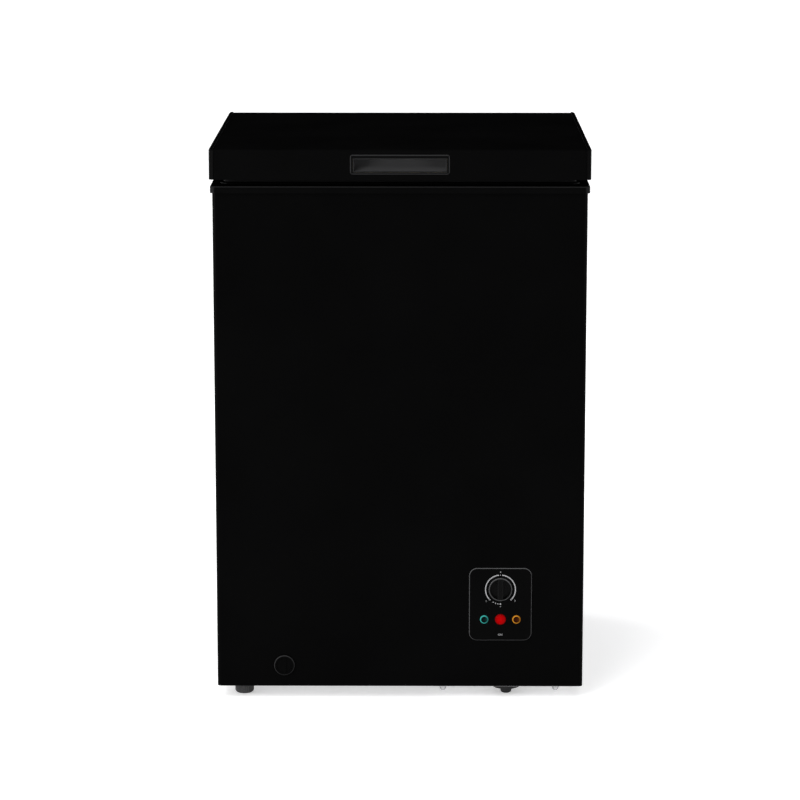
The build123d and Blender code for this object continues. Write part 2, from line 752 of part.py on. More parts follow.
leaf_screw_set = [
    screw(side * HINGE_X + dx, z, leaf_face, LONG_SCREW) for side in (-1, 1) for dx, z in LEAF_SCREWS
]
with BuildPart() as leaf_screws:
    add(leaf_screw_set)
write(leaf_screws, "leaf_screws")

# Control bezel with a round well for the knob and holes for three lenses
BEZEL_PROUD = 2.0
BEZEL_FACE = CABINET_FRONT - BEZEL_PROUD
KNOB_X = PANEL_X
KNOB_Z = 171.0
KNOB_RADIUS = 17.6
WELL_RADIUS = 18.1
WELL_FLOOR = -251.6
WELL_BACK = -250.0
LENS_Z = 124.8
LENS_SPACING = 24.2
LENSES = [
    ("lens_green", KNOB_X - LENS_SPACING, 6.6),
    ("lens_red", KNOB_X, 8.4),
    ("lens_amber", KNOB_X + LENS_SPACING, 6.6),
]
BOARD_FRONT = -249.0
BOARD_SHEET = 1.6
BOARD_HALF_WIDTH = 40.0
BOARD_HALF_HEIGHT = 12.0
LAMP_RADIUS = 2.5
LAMP_LENGTH = 8.0
POST_SPACING = 36.0
POST_RADIUS = 2.4
SKIRT_PLAY = 0.2
SKIRT_WALL = 1.8
SKIRT_DEPTH = 12.0
SHAFT_RADIUS = 3.0

skirt_width = WINDOW_WIDTH - 2 * SKIRT_PLAY
skirt_height = WINDOW_HEIGHT - 2 * SKIRT_PLAY
skirt_corner = PANEL_CORNER - WINDOW_MARGIN - SKIRT_PLAY
well_wall = rod(KNOB_X, KNOB_Z, CABINET_FRONT - 1, WELL_BACK, WELL_RADIUS + 1.6)
well_space = rod(KNOB_X, KNOB_Z, BEZEL_FACE - 1, WELL_FLOOR, WELL_RADIUS)
shaft_hole = rod(KNOB_X, KNOB_Z, WELL_FLOOR - 1, WELL_BACK, SHAFT_RADIUS + 1)
board_posts = [
    rod(KNOB_X + dx, LENS_Z, CABINET_FRONT - 0.5, BOARD_FRONT, POST_RADIUS)
    for dx in (-POST_SPACING, POST_SPACING)
]
with BuildPart() as control_bezel:
    with BuildSketch(front_plane(CABINET_FRONT)):
        with Locations((PANEL_X, PANEL_Z)):
            RectangleRounded(PANEL_WIDTH, PANEL_HEIGHT, PANEL_CORNER)
    extrude(amount=BEZEL_PROUD)
    fillet(control_bezel.faces().sort_by(Axis.Y)[0].edges(), 1.4)
    with BuildSketch(front_plane(CABINET_FRONT)):
        with Locations((PANEL_X, PANEL_Z)):
            RectangleRounded(skirt_width, skirt_height, skirt_corner)
            RectangleRounded(
                skirt_width - 2 * SKIRT_WALL,
                skirt_height - 2 * SKIRT_WALL,
                skirt_corner - SKIRT_WALL,
                mode=Mode.SUBTRACT,
            )
    extrude(amount=-SKIRT_DEPTH)
    add(well_wall)
    add(board_posts)
    add(well_space, mode=Mode.SUBTRACT)
    add(shaft_hole, mode=Mode.SUBTRACT)
    for lens_name, lens_x, lens_radius in LENSES:
        with BuildSketch(front_plane(CABINET_FRONT)):
            with Locations((lens_x, LENS_Z)):
                Circle(lens_radius)
        extrude(amount=BEZEL_PROUD, mode=Mode.SUBTRACT)
write(control_bezel, "control_bezel")

# Indicator lenses, each a low dome with a flange behind the bezel
for lens_name, lens_x, lens_radius in LENSES:
    lens_body = rod(lens_x, LENS_Z, BEZEL_FACE - 1.8, CABINET_FRONT, lens_radius - 0.1)
    lens_flange = rod(lens_x, LENS_Z, CABINET_FRONT, CABINET_FRONT + 1.6, lens_radius + 1.2)
    with BuildPart() as lens:
        add(lens_body)
        fillet(lens.faces().sort_by(Axis.Y)[0].edges(), 1.7)
        add(lens_flange)
    write(lens, lens_name)

# Indicator board with three lamps
board_plate = block(
    KNOB_X - BOARD_HALF_WIDTH,
    KNOB_X + BOARD_HALF_WIDTH,
    BOARD_FRONT,
    BOARD_FRONT + BOARD_SHEET,
    LENS_Z - BOARD_HALF_HEIGHT,
    LENS_Z + BOARD_HALF_HEIGHT,
)
lamps = [
    rod(lens_x, LENS_Z, BOARD_FRONT - LAMP_LENGTH, BOARD_FRONT, LAMP_RADIUS)
    for lens_name, lens_x, lens_radius in LENSES
]
with BuildPart() as indicator_board:
    add(lamps)
    fillet(indicator_board.faces().group_by(Axis.Y)[0].edges(), 2.2)
    add(board_plate)
write(indicator_board, "indicator_board")

# Knob that sits in the bezel's well: a dished disc with a grip bar across it
KNOB_FRONT = BEZEL_FACE - 1.4
KNOB_BACK = WELL_FLOOR - 0.6
KNOB_DISH = -257.5
BAR_HALF = 3.8
dish_space = rod(KNOB_X, KNOB_Z, KNOB_FRONT - 5, KNOB_DISH, KNOB_RADIUS - 2.2)
knob_disc = rod(KNOB_X, KNOB_Z, KNOB_FRONT, KNOB_BACK, KNOB_RADIUS)
shaft_bore = rod(KNOB_X, KNOB_Z, KNOB_BACK - 7, KNOB_BACK, SHAFT_RADIUS + 0.05)
BAR_REACH = KNOB_RADIUS - 1
grip_bar = block(
    KNOB_X - BAR_HALF,
    KNOB_X + BAR_HALF,
    KNOB_FRONT,
    KNOB_BACK - 2,
    KNOB_Z - BAR_REACH,
    KNOB_Z + BAR_REACH,
)
with BuildPart() as temperature_knob:
    add(knob_disc)
    fillet(temperature_knob.faces().sort_by(Axis.Y)[0].edges(), 0.8)
    add(dish_space, mode=Mode.SUBTRACT)
    add(grip_bar)
    add(shaft_bore, mode=Mode.SUBTRACT)
write(temperature_knob, "temperature_knob")

# Thermostat with its shaft and sensor tube
BUSHING_RADIUS = 6.0
THERMOSTAT_FRONT = -246.0
THERMOSTAT_BACK = -212.0
THERMOSTAT_HALF = 22.0
TERMINAL_Z = KNOB_Z + 4
TERMINAL_LENGTH = 9.0
SENSOR_Y = -225.0
thermostat_box = block(
    KNOB_X - THERMOSTAT_HALF,
    KNOB_X + THERMOSTAT_HALF,
    THERMOSTAT_FRONT,
    THERMOSTAT_BACK,
    KNOB_Z - 15,
    KNOB_Z + 15,
)
bushing = rod(KNOB_X, KNOB_Z, WELL_BACK, THERMOSTAT_FRONT, BUSHING_RADIUS)
shaft_seat = rod(KNOB_X, KNOB_Z, WELL_BACK, THERMOSTAT_FRONT + 10, SHAFT_RADIUS + 0.35)
terminal_back = THERMOSTAT_BACK + TERMINAL_LENGTH
thermostat_terminals = [
    block(x - 3, x + 3, THERMOSTAT_BACK, terminal_back, TERMINAL_Z, TERMINAL_Z + SHEET)
    for x in (KNOB_X - 12, KNOB_X, KNOB_X + 12)
]
with BuildPart() as thermostat:
    add(thermostat_box)
    fillet(thermostat.edges().filter_by(Axis.Y), 3)
    add(bushing)
    add(thermostat_terminals)
    add(shaft_seat, mode=Mode.SUBTRACT)
write(thermostat, "thermostat")

shaft_bar = rod(KNOB_X, KNOB_Z, KNOB_BACK - 6.5, THERMOSTAT_FRONT + 9, SHAFT_RADIUS)
with BuildPart() as thermostat_shaft:
    add(shaft_bar)
write(thermostat_shaft, "thermostat_shaft")

sensor_line = pipe(
    [
        (KNOB_X + THERMOSTAT_HALF, SENSOR_Y, KNOB_Z),
        (SENSOR_PLACE[0], SENSOR_Y, KNOB_Z),
        (SENSOR_PLACE[0], SENSOR_PLACE[1], KNOB_Z + 20),
        (SENSOR_PLACE[0], SENSOR_PLACE[1], STEP_TOP + 60),
    ],
    14,
    SENSOR_RADIUS,
)
with BuildPart() as sensor_tube:
    add(sensor_line)
write(sensor_tube, "sensor_tube")

# Drain dial that pulls out of the front, and the plug in the liner floor
DIAL_RADIUS = 15.4
DIAL_FRONT = CABINET_FRONT - 3.6
DIAL_BACK = CABINET_FRONT - 0.3
STEM_BACK = -212.0
STEM_PLAY = 0.4
STEM_WALL = 2.0
dial_cap = rod(DRAIN_X, DRAIN_Z, DIAL_FRONT, DIAL_BACK, DIAL_RADIUS)
dial_dish = rod(DRAIN_X, DRAIN_Z, DIAL_FRONT - 1, DIAL_FRONT + 1.2, DIAL_RADIUS - 3.5)
dial_bar = block(
    DRAIN_X - 2.5, DRAIN_X + 2.5, DIAL_FRONT + 0.2, DIAL_FRONT + 1.4,
    DRAIN_Z - DIAL_RADIUS + 3, DRAIN_Z + DIAL_RADIUS - 3
)
dial_stem = rod(DRAIN_X, DRAIN_Z, DIAL_BACK - 1, STEM_BACK, DRAIN_BORE - STEM_PLAY)
stem_bore = rod(DRAIN_X, DRAIN_Z, DIAL_BACK + 2, STEM_BACK, DRAIN_BORE - STEM_WALL)
with BuildPart() as drain_dial:
    add(dial_cap)
    fillet(drain_dial.faces().sort_by(Axis.Y)[0].edges(), 1.5)
    add(dial_dish, mode=Mode.SUBTRACT)
    add(dial_bar)
    add(dial_stem)
    add(stem_bore, mode=Mode.SUBTRACT)
write(drain_dial, "drain_dial")

plug_head = post(DRAIN_X, DRAIN_HOLE_Y, LINER_FLOOR + 0.3, LINER_FLOOR + 4, 14)
plug_stem = post(DRAIN_X, DRAIN_HOLE_Y, LINER_FLOOR - 12, LINER_FLOOR + 0.3, DRAIN_BORE - STEM_PLAY)
plug_tab = block(
    DRAIN_X - 8, DRAIN_X + 8, DRAIN_HOLE_Y - 1.6, DRAIN_HOLE_Y + 1.6, LINER_FLOOR + 4, LINER_FLOOR + 11
)
with BuildPart() as drain_plug:
    add(plug_head)
    fillet(drain_plug.faces().sort_by(Axis.Z)[-1].edges(), 1.2)
    add(plug_stem)
    add(plug_tab)
write(drain_plug, "drain_plug")

# Tray under the machine compartment, held by four studs and nuts
TRAY_LEFT = 50.0
TRAY_RIGHT = 262.0
TRAY_SHEET = 2.0
TRAY_FRONT = STUD_FRONT - 6
TRAY_BACK = STUD_BACK + 4
TRAY_BOTTOM = CABINET_BOTTOM - TRAY_SHEET
COMPRESSOR_X = 176.0
COMPRESSOR_Y = 118.0
GROMMETS = [(COMPRESSOR_X + dx, COMPRESSOR_Y + dy) for dx in (-62, 62) for dy in (-78, 78)]
FIXED_FOOT_X = 161.0
FIXED_FEET = [(FIXED_FOOT_X, FOOT_FRONT), (FIXED_FOOT_X, FOOT_BACK + 6)]
FOOT_STEM = 4.0

tray_sheet = block(TRAY_LEFT, TRAY_RIGHT, TRAY_FRONT, TRAY_BACK, TRAY_BOTTOM, CABINET_BOTTOM)
with BuildPart() as compressor_tray:
    add(tray_sheet)
    with BuildSketch(Plane.XY.offset(TRAY_BOTTOM)):
        with Locations(*STUD_PLACES):
            Circle(STUD_RADIUS + 0.3)
        with Locations(*FIXED_FEET):
            Circle(FOOT_STEM)
        with Locations(*GROMMETS):
            Circle(STUD_RADIUS + 0.2)
        with Locations((COMPRESSOR_X, -80)):
            with GridLocations(0, 24, 1, 5):
                SlotOverall(110, 8)
    extrude(amount=TRAY_SHEET, mode=Mode.SUBTRACT)
write(compressor_tray, "compressor_tray")

STUD_BOTTOM = 10.8
studs = [post(x, y, STUD_BOTTOM, PLATE_TOP, STUD_RADIUS) for x, y in STUD_PLACES]
with BuildPart() as tray_studs:
    with BuildSketch(Plane.XY.offset(TRAY_BOTTOM - 1.2)):
        with Locations(*STUD_PLACES):
            Circle(6.2)
            Circle(STUD_RADIUS + 0.05, mode=Mode.SUBTRACT)
    extrude(amount=1.2)
    with BuildSketch(Plane.XY.offset(TRAY_BOTTOM - 5)):
        with Locations(*STUD_PLACES):
            RegularPolygon(5, 6)
            Circle(STUD_RADIUS + 0.05, mode=Mode.SUBTRACT)
    extrude(amount=3.8)
    add(studs)
write(tray_studs, "tray_studs")


# Feet: two that screw up and down at the left, two fixed rubber ones at the right
FOOT_RADIUS = 13.2
FOOT_HEIGHT = 14.0
FOOT_BASE = 5.0
FOOT_RIBS = 28
RIB_RADIUS = 1.1
DOME_RADIUS = 8.5
DOME_HEIGHT = 12.0
DOME_EDGE = 4.0
FLANGE_BOTTOM = 10.5
FLANGE_RADIUS = 20.5


def foot_bowl(x, y):
    """Round block with a rounded base, which bounds a levelling foot's disc."""
    with BuildPart() as bowl:
        add(post(x, y, 0, FOOT_HEIGHT, FOOT_RADIUS + RIB_RADIUS))
        fillet(bowl.faces().sort_by(Axis.Z)[0].edges(), FOOT_BASE)
    return bowl.part


def levelling_foot(x, y):
    """Ribbed disc with a rounded base, on a plain stud."""
    with BuildPart() as foot:
        with BuildSketch():
            with Locations((x, y)):
                Circle(FOOT_RADIUS)
                with PolarLocations(FOOT_RADIUS, FOOT_RIBS):
                    Circle(RIB_RADIUS)
        extrude(amount=FOOT_HEIGHT)
        add(foot_bowl(x, y), mode=Mode.INTERSECT)
        with BuildSketch(Plane.XY.offset(FOOT_HEIGHT)):
            with Locations((x, y)):
                Circle(FOOT_STUD_RADIUS)
        extrude(amount=SOCKET_TOP - 4 - FOOT_HEIGHT)
    return foot.part


def fixed_foot(x, y):
    """Rubber dome under a flange, held by a barbed stem through the tray."""
    with BuildPart() as foot:
        with BuildSketch():
            with Locations((x, y)):
                Circle(DOME_RADIUS)
        extrude(amount=DOME_HEIGHT)
        fillet(foot.faces().sort_by(Axis.Z)[0].edges(), DOME_EDGE)
        add(post(x, y, FLANGE_BOTTOM, TRAY_BOTTOM, FLANGE_RADIUS))
        add(post(x, y, TRAY_BOTTOM, CABINET_BOTTOM + 6, FOOT_STEM - 0.1))
        add(post(x, y, CABINET_BOTTOM, CABINET_BOTTOM + 4, FOOT_STEM + 1.6))
    return foot.part


for word, place in (("front", FOOT_PLACES[0]), ("back", FOOT_PLACES[1])):
    foot_part = levelling_foot(*place)
    with BuildPart() as foot_left:
        add(foot_part)
    write(foot_left, f"foot_left_{word}")

for word, place in (("front", FIXED_FEET[0]), ("back", FIXED_FEET[1])):
    foot_part = fixed_foot(*place)
    with BuildPart() as foot_right:
        add(foot_part)
    write(foot_right, f"foot_right_{word}")

# Compressor on rubber grommets
SHELL_BOTTOM = 40.0
SHELL_TOP = 196.0
SHELL_WIDTH = 142.0
SHELL_DEPTH = 176.0
SEAM = 8.0
SEAM_Z = 122.0
GROMMET_TOP = 36.0
FEET_SHEET = 3.0


def shell(width, depth, bottom, top):
    """Rounded pot of the compressor between two heights."""
    with BuildPart() as piece:
        with BuildSketch(Plane.XY.offset(bottom)):
            with Locations((COMPRESSOR_X, COMPRESSOR_Y)):
                RectangleRounded(width, depth, 0.42 * width)
        extrude(amount=top - bottom)
    return piece.part


def shell_foot(half_width, y, half_depth, bottom, top):
    """Flat strip across the compressor at depth y."""
    left = COMPRESSOR_X - half_width
    right = COMPRESSOR_X + half_width
    return block(left, right, y - half_depth, y + half_depth, bottom, top)


FEET_TOP = GROMMET_TOP + FEET_SHEET
shell_pot = shell(SHELL_WIDTH, SHELL_DEPTH, SHELL_BOTTOM, SHELL_TOP)
shell_seam = shell(SHELL_WIDTH + SEAM, SHELL_DEPTH + SEAM, SEAM_Z - 2, SEAM_Z + 2)
feet_plates = [shell_foot(72, COMPRESSOR_Y + dy, 14, GROMMET_TOP, FEET_TOP) for dy in (-78, 78)]
feet_webs = [shell_foot(40, COMPRESSOR_Y + dy, 5, FEET_TOP, SHELL_BOTTOM + 26) for dy in (-76, 76)]
with BuildPart() as compressor:
    add(shell_pot)
    fillet(compressor.faces().sort_by(Axis.Z)[-1].edges(), 34)
    fillet(compressor.faces().sort_by(Axis.Z)[0].edges(), 22)
    add(shell_seam)
    add(feet_webs)
    add(feet_plates)
    with BuildSketch(Plane.XY.offset(GROMMET_TOP)):
        with Locations(*GROMMETS):
            Circle(5.2)
    extrude(amount=FEET_SHEET, mode=Mode.SUBTRACT)
write(compressor, "compressor")

BOLT_SEAT = FEET_TOP + 1
with BuildPart() as compressor_grommets:
    with BuildSketch(Plane.XY.offset(CABINET_BOTTOM)):
        with Locations(*GROMMETS):
            Circle(10)
            Circle(STUD_RADIUS + 0.1, mode=Mode.SUBTRACT)
    extrude(amount=GROMMET_TOP - CABINET_BOTTOM)
    with BuildSketch(Plane.XY.offset(GROMMET_TOP)):
        with Locations(*GROMMETS):
            Circle(5)
            Circle(STUD_RADIUS + 0.1, mode=Mode.SUBTRACT)
    extrude(amount=BOLT_SEAT - GROMMET_TOP)
write(compressor_grommets, "compressor_grommets")

with BuildPart() as compressor_bolts:
    with BuildSketch(Plane.XY.offset(TRAY_BOTTOM)):
        with Locations(*GROMMETS):
            Circle(STUD_RADIUS)
    extrude(amount=BOLT_SEAT - TRAY_BOTTOM)
    with BuildSketch(Plane.XY.offset(BOLT_SEAT)):
        with Locations(*GROMMETS):
            RegularPolygon(6.5, 6)
    extrude(amount=4)
write(compressor_bolts, "compressor_bolts")

RELAY_BACK = COMPRESSOR_Y - 92.2
relay_box = block(COMPRESSOR_X - 26, COMPRESSOR_X + 26, RELAY_BACK - 34, RELAY_BACK, 84, 146)
with BuildPart() as relay_cover:
    add(relay_box)
    fillet(relay_cover.faces().sort_by(Axis.Y)[0].edges(), 5)
write(relay_cover, "relay_cover")

loom_line = pipe(
    [
        (KNOB_X - 14, terminal_back + 0.5, KNOB_Z - 8),
        (KNOB_X - 14, -150, KNOB_Z - 8),
        (COMPRESSOR_X, -90, 115),
        (COMPRESSOR_X, RELAY_BACK - 34, 115),
    ],
    18,
    3.5,
)
with BuildPart() as wiring_loom:
    add(loom_line)
write(wiring_loom, "wiring_loom")

# Cooling circuit
EVAPORATOR_LEVELS = [STEP_TOP + 35 + 62 * step for step in range(7)]
CONDENSER_STEP = 80
CONDENSER_LEVELS = [COMPARTMENT_TOP + 50 + CONDENSER_STEP * step for step in range(6)]


def evaporator_points():
    """One tube that winds around the liner, climbing along its left side."""
    left = -EVAPORATOR_X
    front = LINER_FRONT - EVAPORATOR_GAP
    back = LINER_BACK + EVAPORATOR_GAP
    points = [(EVAPORATOR_X, EVAPORATOR_INLET[1], PIPE_END)]
    points.append((EVAPORATOR_X, EVAPORATOR_INLET[1], EVAPORATOR_LEVELS[0]))
    for low, high in zip(EVAPORATOR_LEVELS, EVAPORATOR_LEVELS[1:]):
        points += [(EVAPORATOR_X, front, low), (left, front, low)]
        points += [(left, back, high), (EVAPORATOR_X, back, high)]
    top = EVAPORATOR_LEVELS[-1]
    points += [(EVAPORATOR_X, EVAPORATOR_OUTLET[1] + 40, top)]
    points += [(EVAPORATOR_OUTLET[0], EVAPORATOR_OUTLET[1], top)]
    points += [(EVAPORATOR_OUTLET[0], EVAPORATOR_OUTLET[1], PIPE_END)]
    return points


def condenser_points():
    """One tube that runs to and fro inside the right side, front and left side."""
    front = INSIDE_FRONT + THIN_RADIUS + 0.2
    back = BACK_PANEL_INNER - 25
    right = CONDENSER_X
    inlet = CONDENSER_INLET[1]
    points = [(right, inlet, PIPE_END), (right, inlet, CONDENSER_LEVELS[0])]
    corners = [(right, front), (-right, front), (-right, back)]
    for step, level in enumerate(CONDENSER_LEVELS):
        run = corners if step % 2 == 0 else corners[::-1]
        points += [(x, y, level) for x, y in run]
        if step % 2 == 1 and level != CONDENSER_LEVELS[-1]:
            points += [(right, inlet, level), (right, inlet, level + CONDENSER_STEP)]
    top = CONDENSER_LEVELS[-1]
    points += [(right, CONDENSER_OUTLET[1] - 40, top)]
    points += [(CONDENSER_OUTLET[0], CONDENSER_OUTLET[1], top)]
    points += [(CONDENSER_OUTLET[0], CONDENSER_OUTLET[1], PIPE_END)]
    return points


evaporator_tube = pipe(evaporator_points(), 20, PIPE_RADIUS)
with BuildPart() as evaporator_coil:
    add(evaporator_tube)
write(evaporator_coil, "evaporator_coil")

condenser_tube = pipe(condenser_points(), 14, THIN_RADIUS)
with BuildPart() as condenser_coil:
    add(condenser_tube)
write(condenser_coil, "condenser_coil")

SHELL_LEFT = COMPRESSOR_X - SHELL_WIDTH / 2
SHELL_RIGHT = COMPRESSOR_X + SHELL_WIDTH / 2
discharge_line = pipe(
    [
        (SHELL_RIGHT, COMPRESSOR_Y + 22, 100),
        (SHELL_RIGHT + 16, COMPRESSOR_Y + 22, 100),
        (CONDENSER_INLET[0] - 4, CONDENSER_INLET[1], 150),
        (CONDENSER_INLET[0], CONDENSER_INLET[1], 190),
        (CONDENSER_INLET[0], CONDENSER_INLET[1], PIPE_END),
    ],
    8,
    THIN_RADIUS,
)
with BuildPart() as discharge_pipe:
    add(discharge_line)
write(discharge_pipe, "discharge_pipe")

suction_line = pipe(
    [
        (SHELL_RIGHT, COMPRESSOR_Y - 22, 150),
        (SHELL_RIGHT + 14, COMPRESSOR_Y - 22, 150),
        (SHELL_RIGHT + 14, COMPRESSOR_Y - 22, 192),
        (EVAPORATOR_OUTLET[0], EVAPORATOR_OUTLET[1], 204),
        (EVAPORATOR_OUTLET[0], EVAPORATOR_OUTLET[1], PIPE_END),
    ],
    5,
    PIPE_RADIUS,
)
with BuildPart() as suction_pipe:
    add(suction_line)
write(suction_pipe, "suction_pipe")

process_line = pipe(
    [
        (SHELL_LEFT, COMPRESSOR_Y, 150),
        (SHELL_LEFT - 9, COMPRESSOR_Y, 150),
        (SHELL_LEFT - 9, COMPRESSOR_Y, 205),
    ],
    6,
    3.0,
)
with BuildPart() as process_pipe:
    add(process_line)
write(process_pipe, "process_pipe")

# Filter drier: a copper cylinder with necked ends
DRIER_RADIUS = 9.0
DRIER_TOP = PIPE_END
DRIER_BOTTOM = PIPE_END - 120
with BuildPart() as filter_drier:
    with BuildSketch(front_plane(CONDENSER_OUTLET[1])):
        with BuildLine():
            centre = CONDENSER_OUTLET[0]
            Polyline(
                (centre, DRIER_TOP),
                (centre + THIN_RADIUS + 0.5, DRIER_TOP),
                (centre + THIN_RADIUS + 0.5, DRIER_TOP - 8),
                (centre + DRIER_RADIUS, DRIER_TOP - 20),
                (centre + DRIER_RADIUS, DRIER_BOTTOM + 20),
                (centre + CAPILLARY_RADIUS + 1, DRIER_BOTTOM + 8),
                (centre + CAPILLARY_RADIUS + 1, DRIER_BOTTOM),
                (centre, DRIER_BOTTOM),
                close=True,
            )
        make_face()
    revolve(axis=Axis((centre, CONDENSER_OUTLET[1], 0), (0, 0, 1)))
write(filter_drier, "filter_drier")

capillary_line = pipe(
    [
        (CONDENSER_OUTLET[0], CONDENSER_OUTLET[1], DRIER_BOTTOM),
        (CONDENSER_OUTLET[0], CONDENSER_OUTLET[1], DRIER_BOTTOM - 25),
        (CONDENSER_OUTLET[0] - 30, CONDENSER_OUTLET[1] - 20, DRIER_BOTTOM - 25),
        (EVAPORATOR_INLET[0], EVAPORATOR_INLET[1], 110),
        (EVAPORATOR_INLET[0], EVAPORATOR_INLET[1], PIPE_END),
    ],
    8,
    CAPILLARY_RADIUS,
)
with BuildPart() as capillary_tube:
    add(capillary_line)
write(capillary_tube, "capillary_tube")

# Vented rear cover of the machine compartment, with the gland for the mains cord
COVER_LEFT = COMPARTMENT_X + 4
COVER_RIGHT = HALF_CABINET - RETURN_FLANGE - 1
COVER_BOTTOM = 24.0
COVER_TOP = COMPARTMENT_TOP - 2
COVER_SHEET = 1.2
COVER_FACE = BACK_PANEL_OUTER + COVER_SHEET
GLAND_X = 232.0
GLAND_Z = 62.0
GLAND_BORE = 4.5
COVER_SCREWS = [
    (x, z)
    for x in (COVER_LEFT + 5, COVER_RIGHT - 5)
    for z in (COVER_BOTTOM + 6, (COVER_BOTTOM + COVER_TOP) / 2, COVER_TOP - 6)
]

with BuildPart() as compressor_cover:
    with BuildSketch(front_plane(COVER_FACE)):
        with Locations(((COVER_LEFT + COVER_RIGHT) / 2, (COVER_BOTTOM + COVER_TOP) / 2)):
            RectangleRounded(COVER_RIGHT - COVER_LEFT, COVER_TOP - COVER_BOTTOM, 4)
        with Locations(((COVER_LEFT + COVER_RIGHT) / 2, 150)):
            with GridLocations(66, 13, 2, 9):
                SlotOverall(56, 6, mode=Mode.SUBTRACT)
        with Locations((GLAND_X, GLAND_Z)):
            Circle(9, mode=Mode.SUBTRACT)
        with Locations(*COVER_SCREWS):
            Circle(2.4, mode=Mode.SUBTRACT)
    extrude(amount=COVER_SHEET)
write(compressor_cover, "compressor_cover")

cover_screw_set = [screw(x, z, COVER_FACE, SHORT_SCREW) for x, z in COVER_SCREWS]
with BuildPart() as cover_screws:
    add(cover_screw_set)
write(cover_screws, "cover_screws")

gland_body = rod(GLAND_X, GLAND_Z, BACK_PANEL_OUTER - 5, COVER_FACE + 9, 8.9)
gland_flange = rod(GLAND_X, GLAND_Z, COVER_FACE, COVER_FACE + 3, 12)
gland_bore = rod(GLAND_X, GLAND_Z, BACK_PANEL_OUTER - 6, COVER_FACE + 10, GLAND_BORE)
with BuildPart() as cord_gland:
    add(gland_body)
    fillet(cord_gland.faces().sort_by(Axis.Y)[-1].edges(), 2)
    add(gland_flange)
    add(gland_bore, mode=Mode.SUBTRACT)
write(cord_gland, "cord_gland")

# Wire basket that hangs on the rim and slides from side to side
BASKET_X = 112.0
BASKET_HALF = 88.0
BASKET_FRONT = -186.5
BASKET_BACK = 171.6
BASKET_TOP = 762.0
BASKET_BOTTOM = 572.0
BASKET_TAPER = 6.0
WIRE = 1.7
WIRE_INSET = 2.6
WIRE_BEND = 10.0
FRAME_WIRE = 2.5
HOOK_HALF = 60.0
HOOK_WIRE = 2.0
HOOK_BEND = 4.5
HOOK_NEAR = 4.2
HOOK_REACH = 23.0
HOOK_LIFT = SEAT_TOP + 0.3 + HOOK_WIRE
LOW_FRAME = 16.0


def wire_ring(level, draw_in, radius):
    """Closed wire frame around the basket at one level."""
    left = BASKET_X - BASKET_HALF + draw_in
    right = BASKET_X + BASKET_HALF - draw_in
    front = BASKET_FRONT + draw_in
    back = BASKET_BACK - draw_in
    with BuildPart() as piece:
        with BuildLine() as path:
            FilletPolyline(
                (left, front, level), (right, front, level), (right, back, level), (left, back, level),
                radius=18, close=True,
            )
        with BuildSketch(Plane(path.line @ 0, z_dir=path.line % 0)):
            Circle(radius)
        sweep(path=path.line)
    return piece.part


def cross_wire(y):
    """Wire down the left side, across the floor and up the right side."""
    left = BASKET_X - BASKET_HALF + WIRE_INSET
    right = BASKET_X + BASKET_HALF - WIRE_INSET
    low = BASKET_BOTTOM + WIRE_INSET
    return pipe(
        [
            (left, y, BASKET_TOP), (left + BASKET_TAPER, y, low),
            (right - BASKET_TAPER, y, low), (right, y, BASKET_TOP),
        ],
        WIRE_BEND,
        WIRE,
    )


def long_wire(x):
    """Wire down the front, along the floor and up the back."""
    front = BASKET_FRONT + WIRE_INSET
    back = BASKET_BACK - WIRE_INSET
    low = BASKET_BOTTOM + 2 * WIRE_INSET
    return pipe(
        [
            (x, front, BASKET_TOP), (x, front + BASKET_TAPER, low),
            (x, back - BASKET_TAPER, low), (x, back, BASKET_TOP),
        ],
        WIRE_BEND,
        WIRE,
    )


def hanger(near, far):
    """Loop that rises from the top frame and lies on the rim."""
    left = BASKET_X - HOOK_HALF
    right = BASKET_X + HOOK_HALF
    low = BASKET_TOP - 8
    return pipe(
        [
            (left, near, low), (left, near, HOOK_LIFT), (left, far, HOOK_LIFT),
            (right, far, HOOK_LIFT), (right, near, HOOK_LIFT), (right, near, low),
        ],
        HOOK_BEND,
        HOOK_WIRE,
    )


def frame(level, radius):
    """Wire frame that follows the basket's taper."""
    draw_in = BASKET_TAPER * (BASKET_TOP - level) / (BASKET_TOP - BASKET_BOTTOM)
    return wire_ring(level, draw_in, radius)


frames = [
    frame(BASKET_TOP, FRAME_WIRE),
    frame((BASKET_TOP + BASKET_BOTTOM) / 2, WIRE),
    frame(BASKET_BOTTOM + LOW_FRAME, FRAME_WIRE),
]
cross_wires = [cross_wire(BASKET_FRONT + 35 + 40 * step) for step in range(8)]
long_wires = [long_wire(BASKET_X - 66 + 44 * step) for step in range(4)]
hangers = [
    hanger(BASKET_FRONT - HOOK_NEAR, BASKET_FRONT - HOOK_REACH),
    hanger(BASKET_BACK + HOOK_NEAR, BASKET_BACK + HOOK_REACH),
]
with BuildPart() as basket:
    add(frames)
    add(hangers)
    add(cross_wires)
    add(long_wires)
write(basket, "basket")
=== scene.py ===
import json
import math

